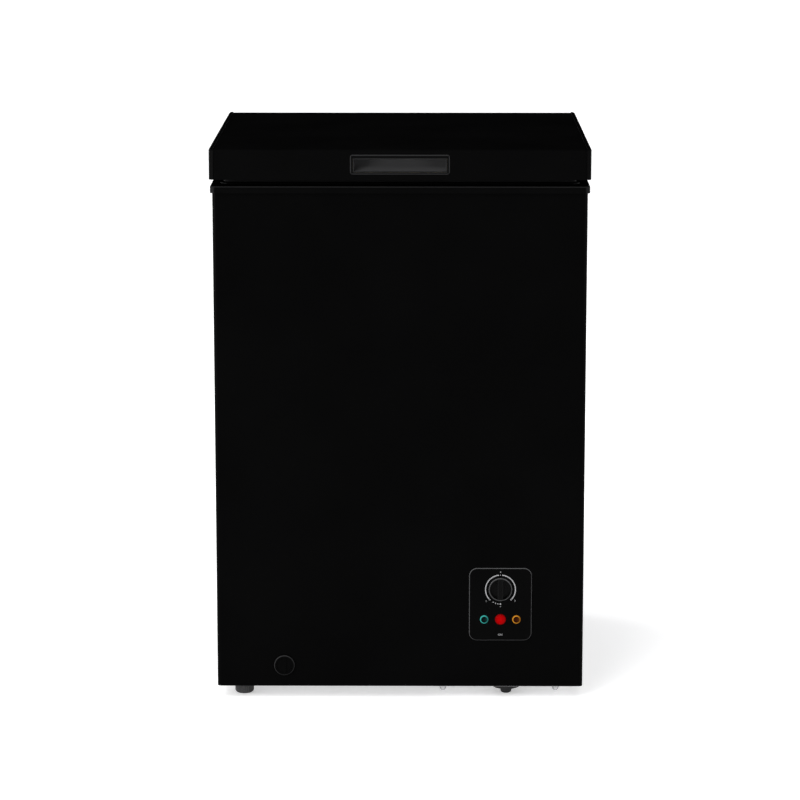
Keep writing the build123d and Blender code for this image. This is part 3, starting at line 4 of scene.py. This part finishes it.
import bpy
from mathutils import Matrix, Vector


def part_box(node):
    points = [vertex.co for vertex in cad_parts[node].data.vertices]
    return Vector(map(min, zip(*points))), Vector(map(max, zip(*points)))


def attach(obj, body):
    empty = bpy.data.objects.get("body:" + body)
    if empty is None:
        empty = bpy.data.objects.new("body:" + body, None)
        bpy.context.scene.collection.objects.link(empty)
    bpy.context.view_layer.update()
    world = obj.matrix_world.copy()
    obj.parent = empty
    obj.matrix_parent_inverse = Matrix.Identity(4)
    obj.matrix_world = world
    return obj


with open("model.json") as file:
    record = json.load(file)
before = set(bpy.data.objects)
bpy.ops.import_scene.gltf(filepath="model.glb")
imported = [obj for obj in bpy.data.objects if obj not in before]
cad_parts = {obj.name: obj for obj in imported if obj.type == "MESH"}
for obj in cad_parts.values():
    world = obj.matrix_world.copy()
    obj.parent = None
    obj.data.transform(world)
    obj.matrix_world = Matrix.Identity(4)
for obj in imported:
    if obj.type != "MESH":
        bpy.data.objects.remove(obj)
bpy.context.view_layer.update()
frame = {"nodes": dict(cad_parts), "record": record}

nodes = frame["nodes"]
scene = bpy.context.scene

# Places on the control panel and the handle, in metres, worked out from the solids
bezel_low, bezel_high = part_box("control_bezel")
knob_low, knob_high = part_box("temperature_knob")
cup_low, cup_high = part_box("handle_cup")
BEZEL_FACE = bezel_low[1]
KNOB_X = (bezel_low[0] + bezel_high[0]) / 2
KNOB_Z = (knob_low[2] + knob_high[2]) / 2
KNOB_RADIUS = knob_high[0] - KNOB_X
GRIP_REACH = 0.0076
LENS_FLANGE = 0.0012
# Width of the painted highlight band round the handle frame, and where it has faded out
HIGHLIGHT_BAND_WIDTH = 0.0012
HIGHLIGHT_BAND_END = 1.5 * HIGHLIGHT_BAND_WIDTH
LIP_MARGIN = 0.0003
CUP_LIP = cup_low[1] - LIP_MARGIN
CUP_BACK = cup_high[1]

# Printing on the bezel, in metres, with angles in degrees clockwise from the knob's top
PRINT_DEPTH = 0.0001
SCALE_RADIUS = 0.0224
SCALE_WIDTH = 0.0015
SCALE_GAP = 6.5
SCALE_END = 134.0
OFF_ANGLE = 180.0
OFF_MARK_RADIUS = 0.0266
ARC_STEPS = 48
DOT_STEPS = 20
FONT_RATIO = 1.4

# Each dot of the scale: distance from the knob's axis, angle and radius
SCALE_DOTS = [
    (SCALE_RADIUS, 0.0, 0.0006),
    (SCALE_RADIUS, -SCALE_END, 0.0011),
    (SCALE_RADIUS, SCALE_END, 0.0011),
    (SCALE_RADIUS, OFF_ANGLE, 0.0012),
    (SCALE_RADIUS, OFF_ANGLE + 9.5, 0.0008),
    (SCALE_RADIUS, OFF_ANGLE + 19.0, 0.0008),
    (SCALE_RADIUS, OFF_ANGLE + 29.0, 0.0008),
    (OFF_MARK_RADIUS, OFF_ANGLE, 0.0005),
]

# Each printed word: its piece, its text, its place from the knob's axis and its height
PRINTED_WORDS = [
    ("dial_number_top", "4", 0.0, 0.0268, 0.0026),
    ("dial_number_left", "1", -0.0212, -0.0178, 0.0028),
    ("dial_number_right", "7", 0.0218, -0.0175, 0.0028),
    ("lamp_label", "ON", 0.0, -0.07, 0.003),
]

# Camera: a plain view from the front, a little above, with angles in radians
IMAGE_SIDE = 800
SENSOR = 36.0
FOCAL_PIXELS = 3121.2
CAMERA_PLACE = (0.0291, -4.8, 1.3628)
CAMERA_PITCH = 0.1962
CAMERA_TURN = 0.0064

# Soft studio lights, aimed at the object's middle: name, place, side length and power
OBJECT_MIDDLE = (0.0, 0.0, 0.45)
AREA_LIGHTS = [
    ("left", (-3.2, -2.4, 0.9), 1.6, 80.0),
    ("right", (3.2, -2.4, 0.9), 1.6, 40.0),
    ("top", (0.0, -0.5, 3.0), 2.0, 12.0),
    ("back left", (-3.0, 2.4, 1.4), 1.5, 40.0),
    ("back right", (3.0, 2.4, 1.4), 1.5, 40.0),
]

# Soft sun, with its spread in degrees
SUN_PLACE = (-1.6, -2.0, 2.8)
SUN_POWER = 1.8
SUN_SPREAD = 40.0

# Plain colours, and the faint blue share of the neutral ones
COOL_TINT = 1.02
BLACK = (0.0, 0.0, 0.0)
WHITE = (1.0, 1.0, 1.0)


def grey(value):
    """Neutral colour."""
    return (value, value, value * COOL_TINT)


# Floor: its colour for the light that it gives back, then its colour and glow where it is seen
FLOOR_REACH = 40.0
FLOOR_STOPS = [(0.0, grey(0.36)), (1.0, (0.92, 0.92, 0.92))]
FLOOR_GLOW = 0.42

# Light of the surroundings, from the horizon to overhead
SKY_STOPS = [(0.0, grey(0.008)), (0.36, grey(0.014)), (0.6, grey(0.22)), (0.85, grey(0.85))]

# Patterns: noise stays mostly between the first two values, and sheen drifts faster than colour
NOISE_LOW = 0.3
NOISE_HIGH = 0.7
SHEEN_FINENESS = 5.0
FINE_DETAIL = 6.0
FINE_ROUGHNESS = 0.6

# A face is upright below the first tilt and flat above the second
UPRIGHT_TILT = 0.2
FLAT_TILT = 0.6

# Colour stops: painted highlights on turned edges, the knob's rim and its grip; painted light and shade in
# the scoop; painted light in the lenses
EDGE_HIGHLIGHT_STOPS = [(0.02, BLACK), (0.1, WHITE), (0.8, WHITE), (0.97, BLACK)]
KNOB_RIM_HIGHLIGHT_STOPS = [(0.0, grey(0.0018)), (0.91, grey(0.0024)), (0.945, grey(0.07)), (1.0, grey(0.08))]
GRIP_EDGE_HIGHLIGHTS = [(0.2, BLACK), (0.25, WHITE), (0.3, BLACK), (0.7, BLACK), (0.75, WHITE), (0.8, BLACK)]
# Painted light and shade in the handle cup, from its darker lip to its lighter back
SCOOP_LIGHT_AND_SHADE_STOPS = [
    (0.0, grey(0.004)),
    (0.08, grey(0.006)),
    (0.14, grey(0.038)),
    (0.45, grey(0.06)),
    (1.0, grey(0.085)),
]
# Painted shade that darkens the lenses towards their right side
SHADED_SIDE = [(0.55, BLACK), (0.95, grey(0.75))]


# Material helpers
def new_material(name):
    """Material with an empty tree, its main shader and its object coordinates."""
    material = bpy.data.materials.new(name)
    material.use_nodes = True
    tree = material.node_tree
    tree.nodes.clear()
    output = tree.nodes.new("ShaderNodeOutputMaterial")
    shader = tree.nodes.new("ShaderNodeBsdfPrincipled")
    tree.links.new(shader.outputs["BSDF"], output.inputs["Surface"])
    coords = tree.nodes.new("ShaderNodeTexCoord").outputs["Object"]
    return material, tree, shader, coords


def noise(tree, coords, scale, detail=4.0, roughness=0.55):
    """Noise pattern with features of about 1 / scale metres."""
    node = tree.nodes.new("ShaderNodeTexNoise")
    node.inputs["Scale"].default_value = scale
    node.inputs["Detail"].default_value = detail
    node.inputs["Roughness"].default_value = roughness
    tree.links.new(coords, node.inputs["Vector"])
    return node.outputs["Fac"]


def cells(tree, coords, scale, output):
    """Cell pattern with cells of about 1 / scale metres."""
    node = tree.nodes.new("ShaderNodeTexVoronoi")
    node.inputs["Scale"].default_value = scale
    tree.links.new(coords, node.inputs["Vector"])
    return node.outputs[output]


def spread(tree, value, low, high, start=NOISE_LOW, end=NOISE_HIGH):
    """Map a pattern that runs from start to end onto a range of values."""
    node = tree.nodes.new("ShaderNodeMapRange")
    node.inputs["From Min"].default_value = start
    node.inputs["From Max"].default_value = end
    node.inputs["To Min"].default_value = low
    node.inputs["To Max"].default_value = high
    tree.links.new(value, node.inputs["Value"])
    return node.outputs["Result"]


def ramp(tree, value, stops):
    """Colour ramp; stops are pairs of position and colour."""
    node = tree.nodes.new("ShaderNodeValToRGB")
    elements = node.color_ramp.elements
    while len(elements) < len(stops):
        elements.new(1.0)
    for element, (place, colour) in zip(elements, stops):
        element.position = place
        element.color = (*colour, 1.0)
    tree.links.new(value, node.inputs["Fac"])
    return node.outputs["Color"]


def blend(tree, colour, factor, other):
    """Blend a colour towards another one where the factor is high."""
    node = tree.nodes.new("ShaderNodeMix")
    node.data_type = "RGBA"
    tree.links.new(factor, node.inputs["Factor"])
    tree.links.new(colour, node.inputs["A"])
    node.inputs["B"].default_value = (*other, 1.0)
    return node.outputs["Result"]


def calculate(tree, operation, *values):
    """Result of a calculation on one or two values, each a number or a node's output."""
    node = tree.nodes.new("ShaderNodeMath")
    node.operation = operation
    for socket, value in zip(node.inputs, values):
        if isinstance(value, float):
            socket.default_value = value
        else:
            tree.links.new(value, socket)
    return node.outputs["Value"]


def along(tree, vector, axis):
    """One coordinate of a place or a direction."""
    parts = tree.nodes.new("ShaderNodeSeparateXYZ")
    tree.links.new(vector, parts.inputs["Vector"])
    return parts.outputs[axis]


def across(tree, coords, centre, radius):
    """Distance from an axis that runs front to back, in units of a radius."""
    offset = tree.nodes.new("ShaderNodeVectorMath")
    offset.operation = "SUBTRACT"
    offset.inputs[1].default_value = (centre[0], 0.0, centre[1])
    flat = tree.nodes.new("ShaderNodeVectorMath")
    flat.operation = "MULTIPLY"
    flat.inputs[1].default_value = (1.0 / radius, 0.0, 1.0 / radius)
    length = tree.nodes.new("ShaderNodeVectorMath")
    length.operation = "LENGTH"
    tree.links.new(coords, offset.inputs[0])
    tree.links.new(offset.outputs["Vector"], flat.inputs[0])
    tree.links.new(flat.outputs["Vector"], length.inputs[0])
    return length.outputs["Value"]


def facing(tree, axis):
    """One coordinate of the direction that a surface faces."""
    return along(tree, tree.nodes.new("ShaderNodeTexCoord").outputs["Normal"], axis)


def painted_edge_highlight(tree):
    """Mask for a painted highlight: one on edges that turn away from the front face, zero on the flat faces.
    """
    turn = spread(tree, facing(tree, "Y"), 0.0, 1.0, start=-1.0, end=0.0)
    return ramp(tree, turn, EDGE_HIGHLIGHT_STOPS)


def upright_sheen(tree, level):
    """Sheen of a surface that is glossy on its upright faces and dull where it lies flat."""
    tilt = calculate(tree, "ABSOLUTE", facing(tree, "Z"))
    return spread(tree, tilt, level, 0.0, start=UPRIGHT_TILT, end=FLAT_TILT)


def edge_distance(tree, coords, low, high, axis):
    """How far a place lies inside the nearer of two ends, along one axis."""
    middle = (low + high) / 2
    offset = calculate(tree, "SUBTRACT", along(tree, coords, axis), middle)
    return calculate(tree, "SUBTRACT", high - middle, calculate(tree, "ABSOLUTE", offset))


def cloudy(tree, coords, scale, colours):
    """Colour that drifts between a darker and a lighter one."""
    dark, light = colours
    return ramp(tree, noise(tree, coords, scale), [(NOISE_LOW, dark), (NOISE_HIGH, light)])


def uneven_sheen(tree, shader, coords, scale, rough):
    """Roughness that drifts over a range."""
    tree.links.new(spread(tree, noise(tree, coords, scale), *rough), shader.inputs["Roughness"])


def relief(tree, shader, height, depth):
    """Surface relief from a height pattern, with its depth in metres."""
    node = tree.nodes.new("ShaderNodeBump")
    node.inputs["Distance"].default_value = depth
    tree.links.new(height, node.inputs["Height"])
    tree.links.new(node.outputs["Normal"], shader.inputs["Normal"])


def fine_grain(tree, shader, coords, scale, depth):
    """Relief of a moulded or sprayed surface."""
    relief(tree, shader, noise(tree, coords, scale, FINE_DETAIL, FINE_ROUGHNESS), depth)


# Materials
def plain_finish(
    name, colours, rough, grain, depth, clouds=7.0, metallic=0.0, specular=0.4, upright=None, edge_highlight=None
):
    """Surface with cloudy colour, uneven sheen and a fine grain.

    Upright is a sheen for upright faces alone, and the lighter colour for turned edges is a painted
    highlight on them.
    """
    material, tree, shader, coords = new_material(name)
    colour = cloudy(tree, coords, clouds, colours)
    # Painted highlight: turned edges are lightened as if they caught the light
    if edge_highlight:
        colour = blend(tree, colour, painted_edge_highlight(tree), edge_highlight)
    tree.links.new(colour, shader.inputs["Base Color"])
    uneven_sheen(tree, shader, coords, SHEEN_FINENESS * clouds, rough)
    fine_grain(tree, shader, coords, grain, depth)
    shader.inputs["Metallic"].default_value = metallic
    shader.inputs["Specular IOR Level"].default_value = specular
    if upright:
        tree.links.new(upright_sheen(tree, upright), shader.inputs["Specular IOR Level"])
    return material


def embossed_aluminium(name):
    """Bright liner sheet with a rolled pebble pattern."""
    material, tree, shader, coords = new_material(name)
    colour = cloudy(tree, coords, scale=4.0, colours=(grey(0.56), grey(0.66)))
    tree.links.new(colour, shader.inputs["Base Color"])
    uneven_sheen(tree, shader, coords, scale=30.0, rough=(0.42, 0.52))
    relief(tree, shader, cells(tree, coords, scale=190.0, output="Distance"), depth=0.0004)
    shader.inputs["Metallic"].default_value = 0.9
    return material


def spangled_zinc(name, colours, rough):
    """Zinc coat with crystal flakes of slightly different brightness."""
    material, tree, shader, coords = new_material(name)
    dark, light = colours
    flake = cells(tree, coords, scale=140.0, output="Color")
    tree.links.new(ramp(tree, flake, [(0.0, dark), (1.0, light)]), shader.inputs["Base Color"])
    uneven_sheen(tree, shader, coords, scale=60.0, rough=rough)
    relief(tree, shader, noise(tree, coords, scale=900.0), depth=0.00005)
    shader.inputs["Metallic"].default_value = 1.0
    return material


def lens_material(name, stops, glow, shaded):
    """Indicator lens whose colour changes from its middle to its rim and is darker on its right side as
    painted shade; on the unlit green and amber lenses the glow and the bright ring are painted light.
    """
    material, tree, shader, coords = new_material(name)
    low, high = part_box(name)
    centre = ((low[0] + high[0]) / 2, (low[2] + high[2]) / 2)
    radius = (high[0] - low[0]) / 2 - LENS_FLANGE
    left, right = centre[0] - radius, centre[0] + radius
    sideways = spread(tree, along(tree, coords, "X"), 0.0, 1.0, start=left, end=right)
    colour = ramp(tree, across(tree, coords, centre, radius), stops)
    colour = blend(tree, colour, ramp(tree, sideways, SHADED_SIDE), shaded)
    tree.links.new(colour, shader.inputs["Base Color"])
    tree.links.new(colour, shader.inputs["Emission Color"])
    uneven_sheen(tree, shader, coords, scale=900.0, rough=(0.12, 0.22))
    relief(tree, shader, noise(tree, coords, scale=1500.0), depth=0.00003)
    # The glow is painted light on the unlit green and amber lenses
    shader.inputs["Emission Strength"].default_value = glow
    shader.inputs["Specular IOR Level"].default_value = 0.02
    return material


def knob_material(name):
    """Dark knob with a painted highlight on its raised rim and on its grip edges."""
    material, tree, shader, coords = new_material(name)
    left, right = KNOB_X - GRIP_REACH, KNOB_X + GRIP_REACH
    sideways = spread(tree, along(tree, coords, "X"), 0.0, 1.0, start=left, end=right)
    # Painted highlights: a light ring on the knob's rim and light lines on its grip edges
    colour = ramp(tree, across(tree, coords, (KNOB_X, KNOB_Z), KNOB_RADIUS), KNOB_RIM_HIGHLIGHT_STOPS)
    colour = blend(tree, colour, ramp(tree, sideways, GRIP_EDGE_HIGHLIGHTS), grey(0.012))
    tree.links.new(colour, shader.inputs["Base Color"])
    uneven_sheen(tree, shader, coords, scale=60.0, rough=(0.28, 0.38))
    fine_grain(tree, shader, coords, scale=3000.0, depth=0.00005)
    shader.inputs["Specular IOR Level"].default_value = 0.04
    return material


def scoop_material(name):
    """Handle cup made a lighter grey as painted light, with painted shade at its lip and more painted light
    towards its back.
    """
    material, tree, shader, coords = new_material(name)
    inwards = spread(tree, along(tree, coords, "Y"), 0.0, 1.0, start=CUP_LIP, end=CUP_BACK)
    tone = spread(tree, noise(tree, coords, scale=40.0), low=0.0, high=0.15)
    colour = blend(tree, ramp(tree, inwards, SCOOP_LIGHT_AND_SHADE_STOPS), tone, grey(0.05))
    tree.links.new(colour, shader.inputs["Base Color"])
    uneven_sheen(tree, shader, coords, scale=60.0, rough=(0.4, 0.5))
    fine_grain(tree, shader, coords, scale=2600.0, depth=0.00006)
    shader.inputs["Specular IOR Level"].default_value = 0.15
    return material


def frame_with_painted_highlight(name, node):
    """Black frame with a painted highlight along its rounded outer rim."""
    material, tree, shader, coords = new_material(name)
    low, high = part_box(node)
    # Painted highlight: a light band along the frame's outer rim
    from_side = edge_distance(tree, coords, low[0], high[0], "X")
    from_top = edge_distance(tree, coords, low[2], high[2], "Z")
    nearest = calculate(tree, "MINIMUM", from_side, from_top)
    highlight_band = spread(tree, nearest, 1.0, 0.0, start=HIGHLIGHT_BAND_WIDTH, end=HIGHLIGHT_BAND_END)
    plain = cloudy(tree, coords, scale=7.0, colours=(grey(0.0012), grey(0.0018)))
    tree.links.new(blend(tree, plain, highlight_band, grey(0.024)), shader.inputs["Base Color"])
    uneven_sheen(tree, shader, coords, scale=35.0, rough=(0.34, 0.42))
    fine_grain(tree, shader, coords, scale=2600.0, depth=0.00006)
    shader.inputs["Specular IOR Level"].default_value = 0.03
    return material


# Looks of the plain surfaces: grain counts bumps in a metre, and depth is in metres; a lighter colour for
# turned edges is a painted highlight
PLAIN_LOOKS = {
    "black_paint": dict(
        colours=(grey(0.0009), grey(0.0014)), rough=(0.33, 0.36), grain=1400.0, depth=0.00003, specular=0.013
    ),
    "lid_paint": dict(
        colours=(grey(0.0012), grey(0.0018)), rough=(0.33, 0.36), grain=1400.0, depth=0.00003, upright=0.013
    ),
    "black_trim": dict(
        colours=(grey(0.0012), grey(0.0018)), rough=(0.34, 0.42), grain=2600.0, depth=0.00006, upright=0.013
    ),
    # Rim: painted highlight along its rounded top front edge
    "rim_plastic": dict(
        colours=(grey(0.0012), grey(0.0018)),
        rough=(0.34, 0.42),
        grain=2600.0,
        depth=0.00006,
        upright=0.013,
        edge_highlight=grey(0.014),
    ),
    # Bezel: painted highlight along its rounded outline
    "bezel_plastic": dict(
        colours=(grey(0.0012), grey(0.0018)),
        rough=(0.3, 0.4),
        grain=3000.0,
        depth=0.00005,
        specular=0.015,
        edge_highlight=grey(0.075),
    ),
    # Drain dial: painted highlight around its rounded rim
    "dial_plastic": dict(
        colours=(grey(0.0011), grey(0.0018)),
        rough=(0.3, 0.4),
        grain=2600.0,
        depth=0.00005,
        specular=0.015,
        edge_highlight=grey(0.03),
    ),
    "white_plastic": dict(
        colours=(grey(0.66), grey(0.69)), rough=(0.28, 0.34), grain=500.0, depth=0.00003
    ),
    "print_white": dict(
        colours=(grey(0.36), grey(0.4)), rough=(0.5, 0.6), grain=2000.0, depth=0.00002
    ),
    "foam": dict(
        colours=((0.6, 0.47, 0.24), (0.74, 0.6, 0.34)),
        rough=(0.8, 0.95),
        grain=700.0,
        depth=0.0005,
        clouds=25.0,
    ),
    "rubber": dict(
        colours=(grey(0.014), grey(0.022)), rough=(0.6, 0.75), grain=1800.0, depth=0.0001, specular=0.25
    ),
    "gasket": dict(
        colours=(grey(0.006), grey(0.01)), rough=(0.45, 0.6), grain=1500.0, depth=0.00008, specular=0.03
    ),
    "compressor_paint": dict(
        colours=(grey(0.006), grey(0.012)), rough=(0.18, 0.3), grain=700.0, depth=0.00008, specular=0.5
    ),
    "copper": dict(
        colours=((0.5, 0.2, 0.09), (0.68, 0.33, 0.18)),
        rough=(0.25, 0.42),
        grain=900.0,
        depth=0.00004,
        clouds=30.0,
        metallic=1.0,
    ),
    "wire_white": dict(
        colours=(grey(0.72), grey(0.78)), rough=(0.3, 0.4), grain=900.0, depth=0.00006
    ),
    "board": dict(
        colours=((0.01, 0.1, 0.035), (0.02, 0.15, 0.05)), rough=(0.35, 0.5), grain=1200.0, depth=0.00006
    ),
    "electrical": dict(
        colours=((0.42, 0.42, 0.39), (0.5, 0.5, 0.47)), rough=(0.4, 0.55), grain=1800.0, depth=0.00006
    ),
    "loom": dict(
        colours=(grey(0.01), grey(0.02)), rough=(0.55, 0.7), grain=900.0, depth=0.0003
    ),
    "foot_plastic": dict(
        colours=(grey(0.05), grey(0.075)), rough=(0.45, 0.6), grain=1800.0, depth=0.00006
    ),
    "drain_grey": dict(
        colours=(grey(0.2), grey(0.26)), rough=(0.4, 0.55), grain=2200.0, depth=0.00006
    ),
}

# Looks of the lenses: stops run from the middle to the rim; the green and amber lenses are unlit, so their
# glow and bright ring are painted light, and shaded is painted shade on the right side; the red lens is the
# lit lamp
LENS_LOOKS = {
    "lens_green": dict(
        stops=[
            (0.0, (0.001, 0.012, 0.011)),
            (0.3, (0.0005, 0.002, 0.002)),
            (0.68, (0.0005, 0.002, 0.002)),
            (0.78, (0.03, 0.27, 0.24)),
            (0.92, (0.03, 0.25, 0.22)),
            (1.0, (0.004, 0.03, 0.027)),
        ],
        glow=0.45,
        shaded=(0.006, 0.05, 0.045),
    ),
    "lens_red": dict(
        stops=[
            (0.0, (0.3, 0.0, 0.0005)),
            (0.7, (0.24, 0.0, 0.0005)),
            (1.0, (0.06, 0.0, 0.0)),
        ],
        glow=0.6,
        shaded=(0.2, 0.0, 0.0005),
    ),
    "lens_amber": dict(
        stops=[
            (0.0, (0.03, 0.004, 0.0005)),
            (0.68, (0.008, 0.001, 0.0005)),
            (0.78, (0.42, 0.18, 0.015)),
            (0.92, (0.36, 0.14, 0.012)),
            (1.0, (0.05, 0.017, 0.002)),
        ],
        glow=0.45,
        shaded=(0.09, 0.03, 0.003),
    ),
}

# Nodes whose look differs from the plain one of their slot
OWN_LOOKS = {
    "lid_skin": "lid_paint",
    "rim_frame": "rim_plastic",
    "drain_dial": "dial_plastic",
    "temperature_knob": "knob_plastic",
    "handle_frame": "handle_trim",
}

looks = {name: plain_finish(name, **look) for name, look in PLAIN_LOOKS.items()}
for name, look in LENS_LOOKS.items():
    looks[name] = lens_material(name, **look)
looks["grey_scoop"] = scoop_material("grey_scoop")
looks["knob_plastic"] = knob_material("knob_plastic")
looks["handle_trim"] = frame_with_painted_highlight("handle_trim", "handle_frame")
looks["liner_aluminium"] = embossed_aluminium("liner_aluminium")
looks["galvanised"] = spangled_zinc("galvanised", colours=(grey(0.36), grey(0.54)), rough=(0.35, 0.5))
looks["zinc"] = spangled_zinc("zinc", colours=(grey(0.36), grey(0.45)), rough=(0.28, 0.4))

for entry in frame["record"]["subparts"]:
    node = entry["node"]
    mesh = nodes[node].data
    mesh.materials.clear()
    mesh.materials.append(looks[OWN_LOOKS.get(node, entry["material_slot"])])


# Printing on the bezel
def add_piece(name, data, body):
    """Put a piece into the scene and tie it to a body."""
    piece = bpy.data.objects.new(name, data)
    scene.collection.objects.link(piece)
    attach(piece, body)
    return piece


def print_shape(name, loops):
    """Thin printed shapes on the bezel; each loop is a closed outline in X and Z."""
    vertices = []
    faces = []
    for loop in loops:
        start = len(vertices)
        count = len(loop)
        for depth in (BEZEL_FACE - PRINT_DEPTH, BEZEL_FACE):
            vertices += [(x, depth, z) for x, z in loop]
        faces.append([start + i for i in range(count)])
        faces.append([start + count + i for i in reversed(range(count))])
        for i in range(count):
            j = (i + 1) % count
            faces.append([start + i, start + count + i, start + count + j, start + j])
    mesh = bpy.data.meshes.new(name)
    mesh.from_pydata(vertices, [], faces)
    mesh.materials.append(looks["print_white"])
    add_piece(name, mesh, "cabinet")


def print_word(name, text, x, z, height):
    """Small printed characters on the bezel."""
    curve = bpy.data.curves.new(name, "FONT")
    curve.body = text
    curve.size = height * FONT_RATIO
    curve.align_x = "CENTER"
    curve.align_y = "CENTER"
    curve.extrude = PRINT_DEPTH / 2
    curve.materials.append(looks["print_white"])
    piece = add_piece(name, curve, "cabinet")
    piece.location = (x, BEZEL_FACE - PRINT_DEPTH / 2, z)
    piece.rotation_euler = (math.pi / 2, 0.0, 0.0)


def on_dial(radius, degrees):
    """Point around the knob; degrees run clockwise from the top."""
    angle = math.radians(degrees)
    return (KNOB_X + radius * math.sin(angle), KNOB_Z + radius * math.cos(angle))


def arc_band(radius, width, start, end):
    """Outline of a curved band around the knob."""
    angles = [start + (end - start) * i / ARC_STEPS for i in range(ARC_STEPS + 1)]
    outer = [on_dial(radius + width / 2, angle) for angle in angles]
    inner = [on_dial(radius - width / 2, angle) for angle in reversed(angles)]
    return outer + inner


def dot(centre, radius):
    """Outline of a small round mark."""
    turns = [2 * math.pi * i / DOT_STEPS for i in range(DOT_STEPS)]
    return [(centre[0] + radius * math.sin(turn), centre[1] + radius * math.cos(turn)) for turn in turns]


scale = [arc_band(SCALE_RADIUS, SCALE_WIDTH, side * SCALE_GAP, side * SCALE_END) for side in (-1, 1)]
scale += [dot(on_dial(distance, degrees), radius) for distance, degrees, radius in SCALE_DOTS]
print_shape("dial_scale", scale)
for name, text, dx, dz, height in PRINTED_WORDS:
    print_word(name, text, KNOB_X + dx, KNOB_Z + dz, height)


# Floor and surroundings: white where they are seen, greyer for the light they give back
def seen_rays(tree):
    """One for rays from the camera and for rays that a shiny or clear surface sends on."""
    path = tree.nodes.new("ShaderNodeLightPath")
    seen = path.outputs["Is Camera Ray"]
    for kind in ("Is Glossy Ray", "Is Transmission Ray"):
        seen = calculate(tree, "MAXIMUM", seen, path.outputs[kind])
    return seen


def floor_material():
    """Dull pale floor."""
    material, tree, shader, _ = new_material("floor")
    seen = seen_rays(tree)
    glow = spread(tree, seen, 0.0, FLOOR_GLOW, start=0.0, end=1.0)
    tree.links.new(ramp(tree, seen, FLOOR_STOPS), shader.inputs["Base Color"])
    tree.links.new(glow, shader.inputs["Emission Strength"])
    shader.inputs["Emission Color"].default_value = (*WHITE, 1.0)
    shader.inputs["Roughness"].default_value = 0.9
    shader.inputs["Specular IOR Level"].default_value = 0.0
    return material


def add_floor():
    """Wide flat floor under the object."""
    reach = FLOOR_REACH
    corners = [(-reach, -reach, 0), (reach, -reach, 0), (reach, reach, 0), (-reach, reach, 0)]
    mesh = bpy.data.meshes.new("floor")
    mesh.from_pydata(corners, [], [(0, 1, 2, 3)])
    mesh.materials.append(floor_material())
    floor = bpy.data.objects.new("floor", mesh)
    scene.collection.objects.link(floor)


def add_surroundings():
    """Studio that gives its light from overhead."""
    world = bpy.data.worlds.new("studio")
    scene.world = world
    world.use_nodes = True
    tree = world.node_tree
    direction = tree.nodes.new("ShaderNodeTexCoord").outputs["Generated"]
    sky = ramp(tree, along(tree, direction, "Z"), SKY_STOPS)
    colour = blend(tree, sky, seen_rays(tree), WHITE)
    tree.links.new(colour, tree.nodes["Background"].inputs["Color"])


def add_light(name, kind, place, power):
    """Light of one kind at a place, turned towards the middle of the object."""
    lamp = bpy.data.lights.new(name, kind)
    lamp.energy = power
    light = bpy.data.objects.new(name, lamp)
    light.location = place
    light.rotation_euler = (Vector(OBJECT_MIDDLE) - Vector(place)).to_track_quat("-Z", "Y").to_euler()
    scene.collection.objects.link(light)
    return lamp


def add_camera():
    """Camera at the photograph's viewing angle."""
    data = bpy.data.cameras.new("camera")
    data.sensor_width = SENSOR
    data.lens = FOCAL_PIXELS * SENSOR / IMAGE_SIDE
    camera = bpy.data.objects.new("camera", data)
    camera.location = CAMERA_PLACE
    camera.rotation_euler = (math.pi / 2 - CAMERA_PITCH, 0.0, CAMERA_TURN)
    scene.collection.objects.link(camera)
    scene.camera = camera


add_floor()
add_surroundings()
sun = add_light("sun", "SUN", SUN_PLACE, SUN_POWER)
sun.angle = math.radians(SUN_SPREAD)
for name, place, size, power in AREA_LIGHTS:
    area = add_light(name, "AREA", place, power)
    area.size = size
add_camera()
scene.view_settings.view_transform = "Standard"
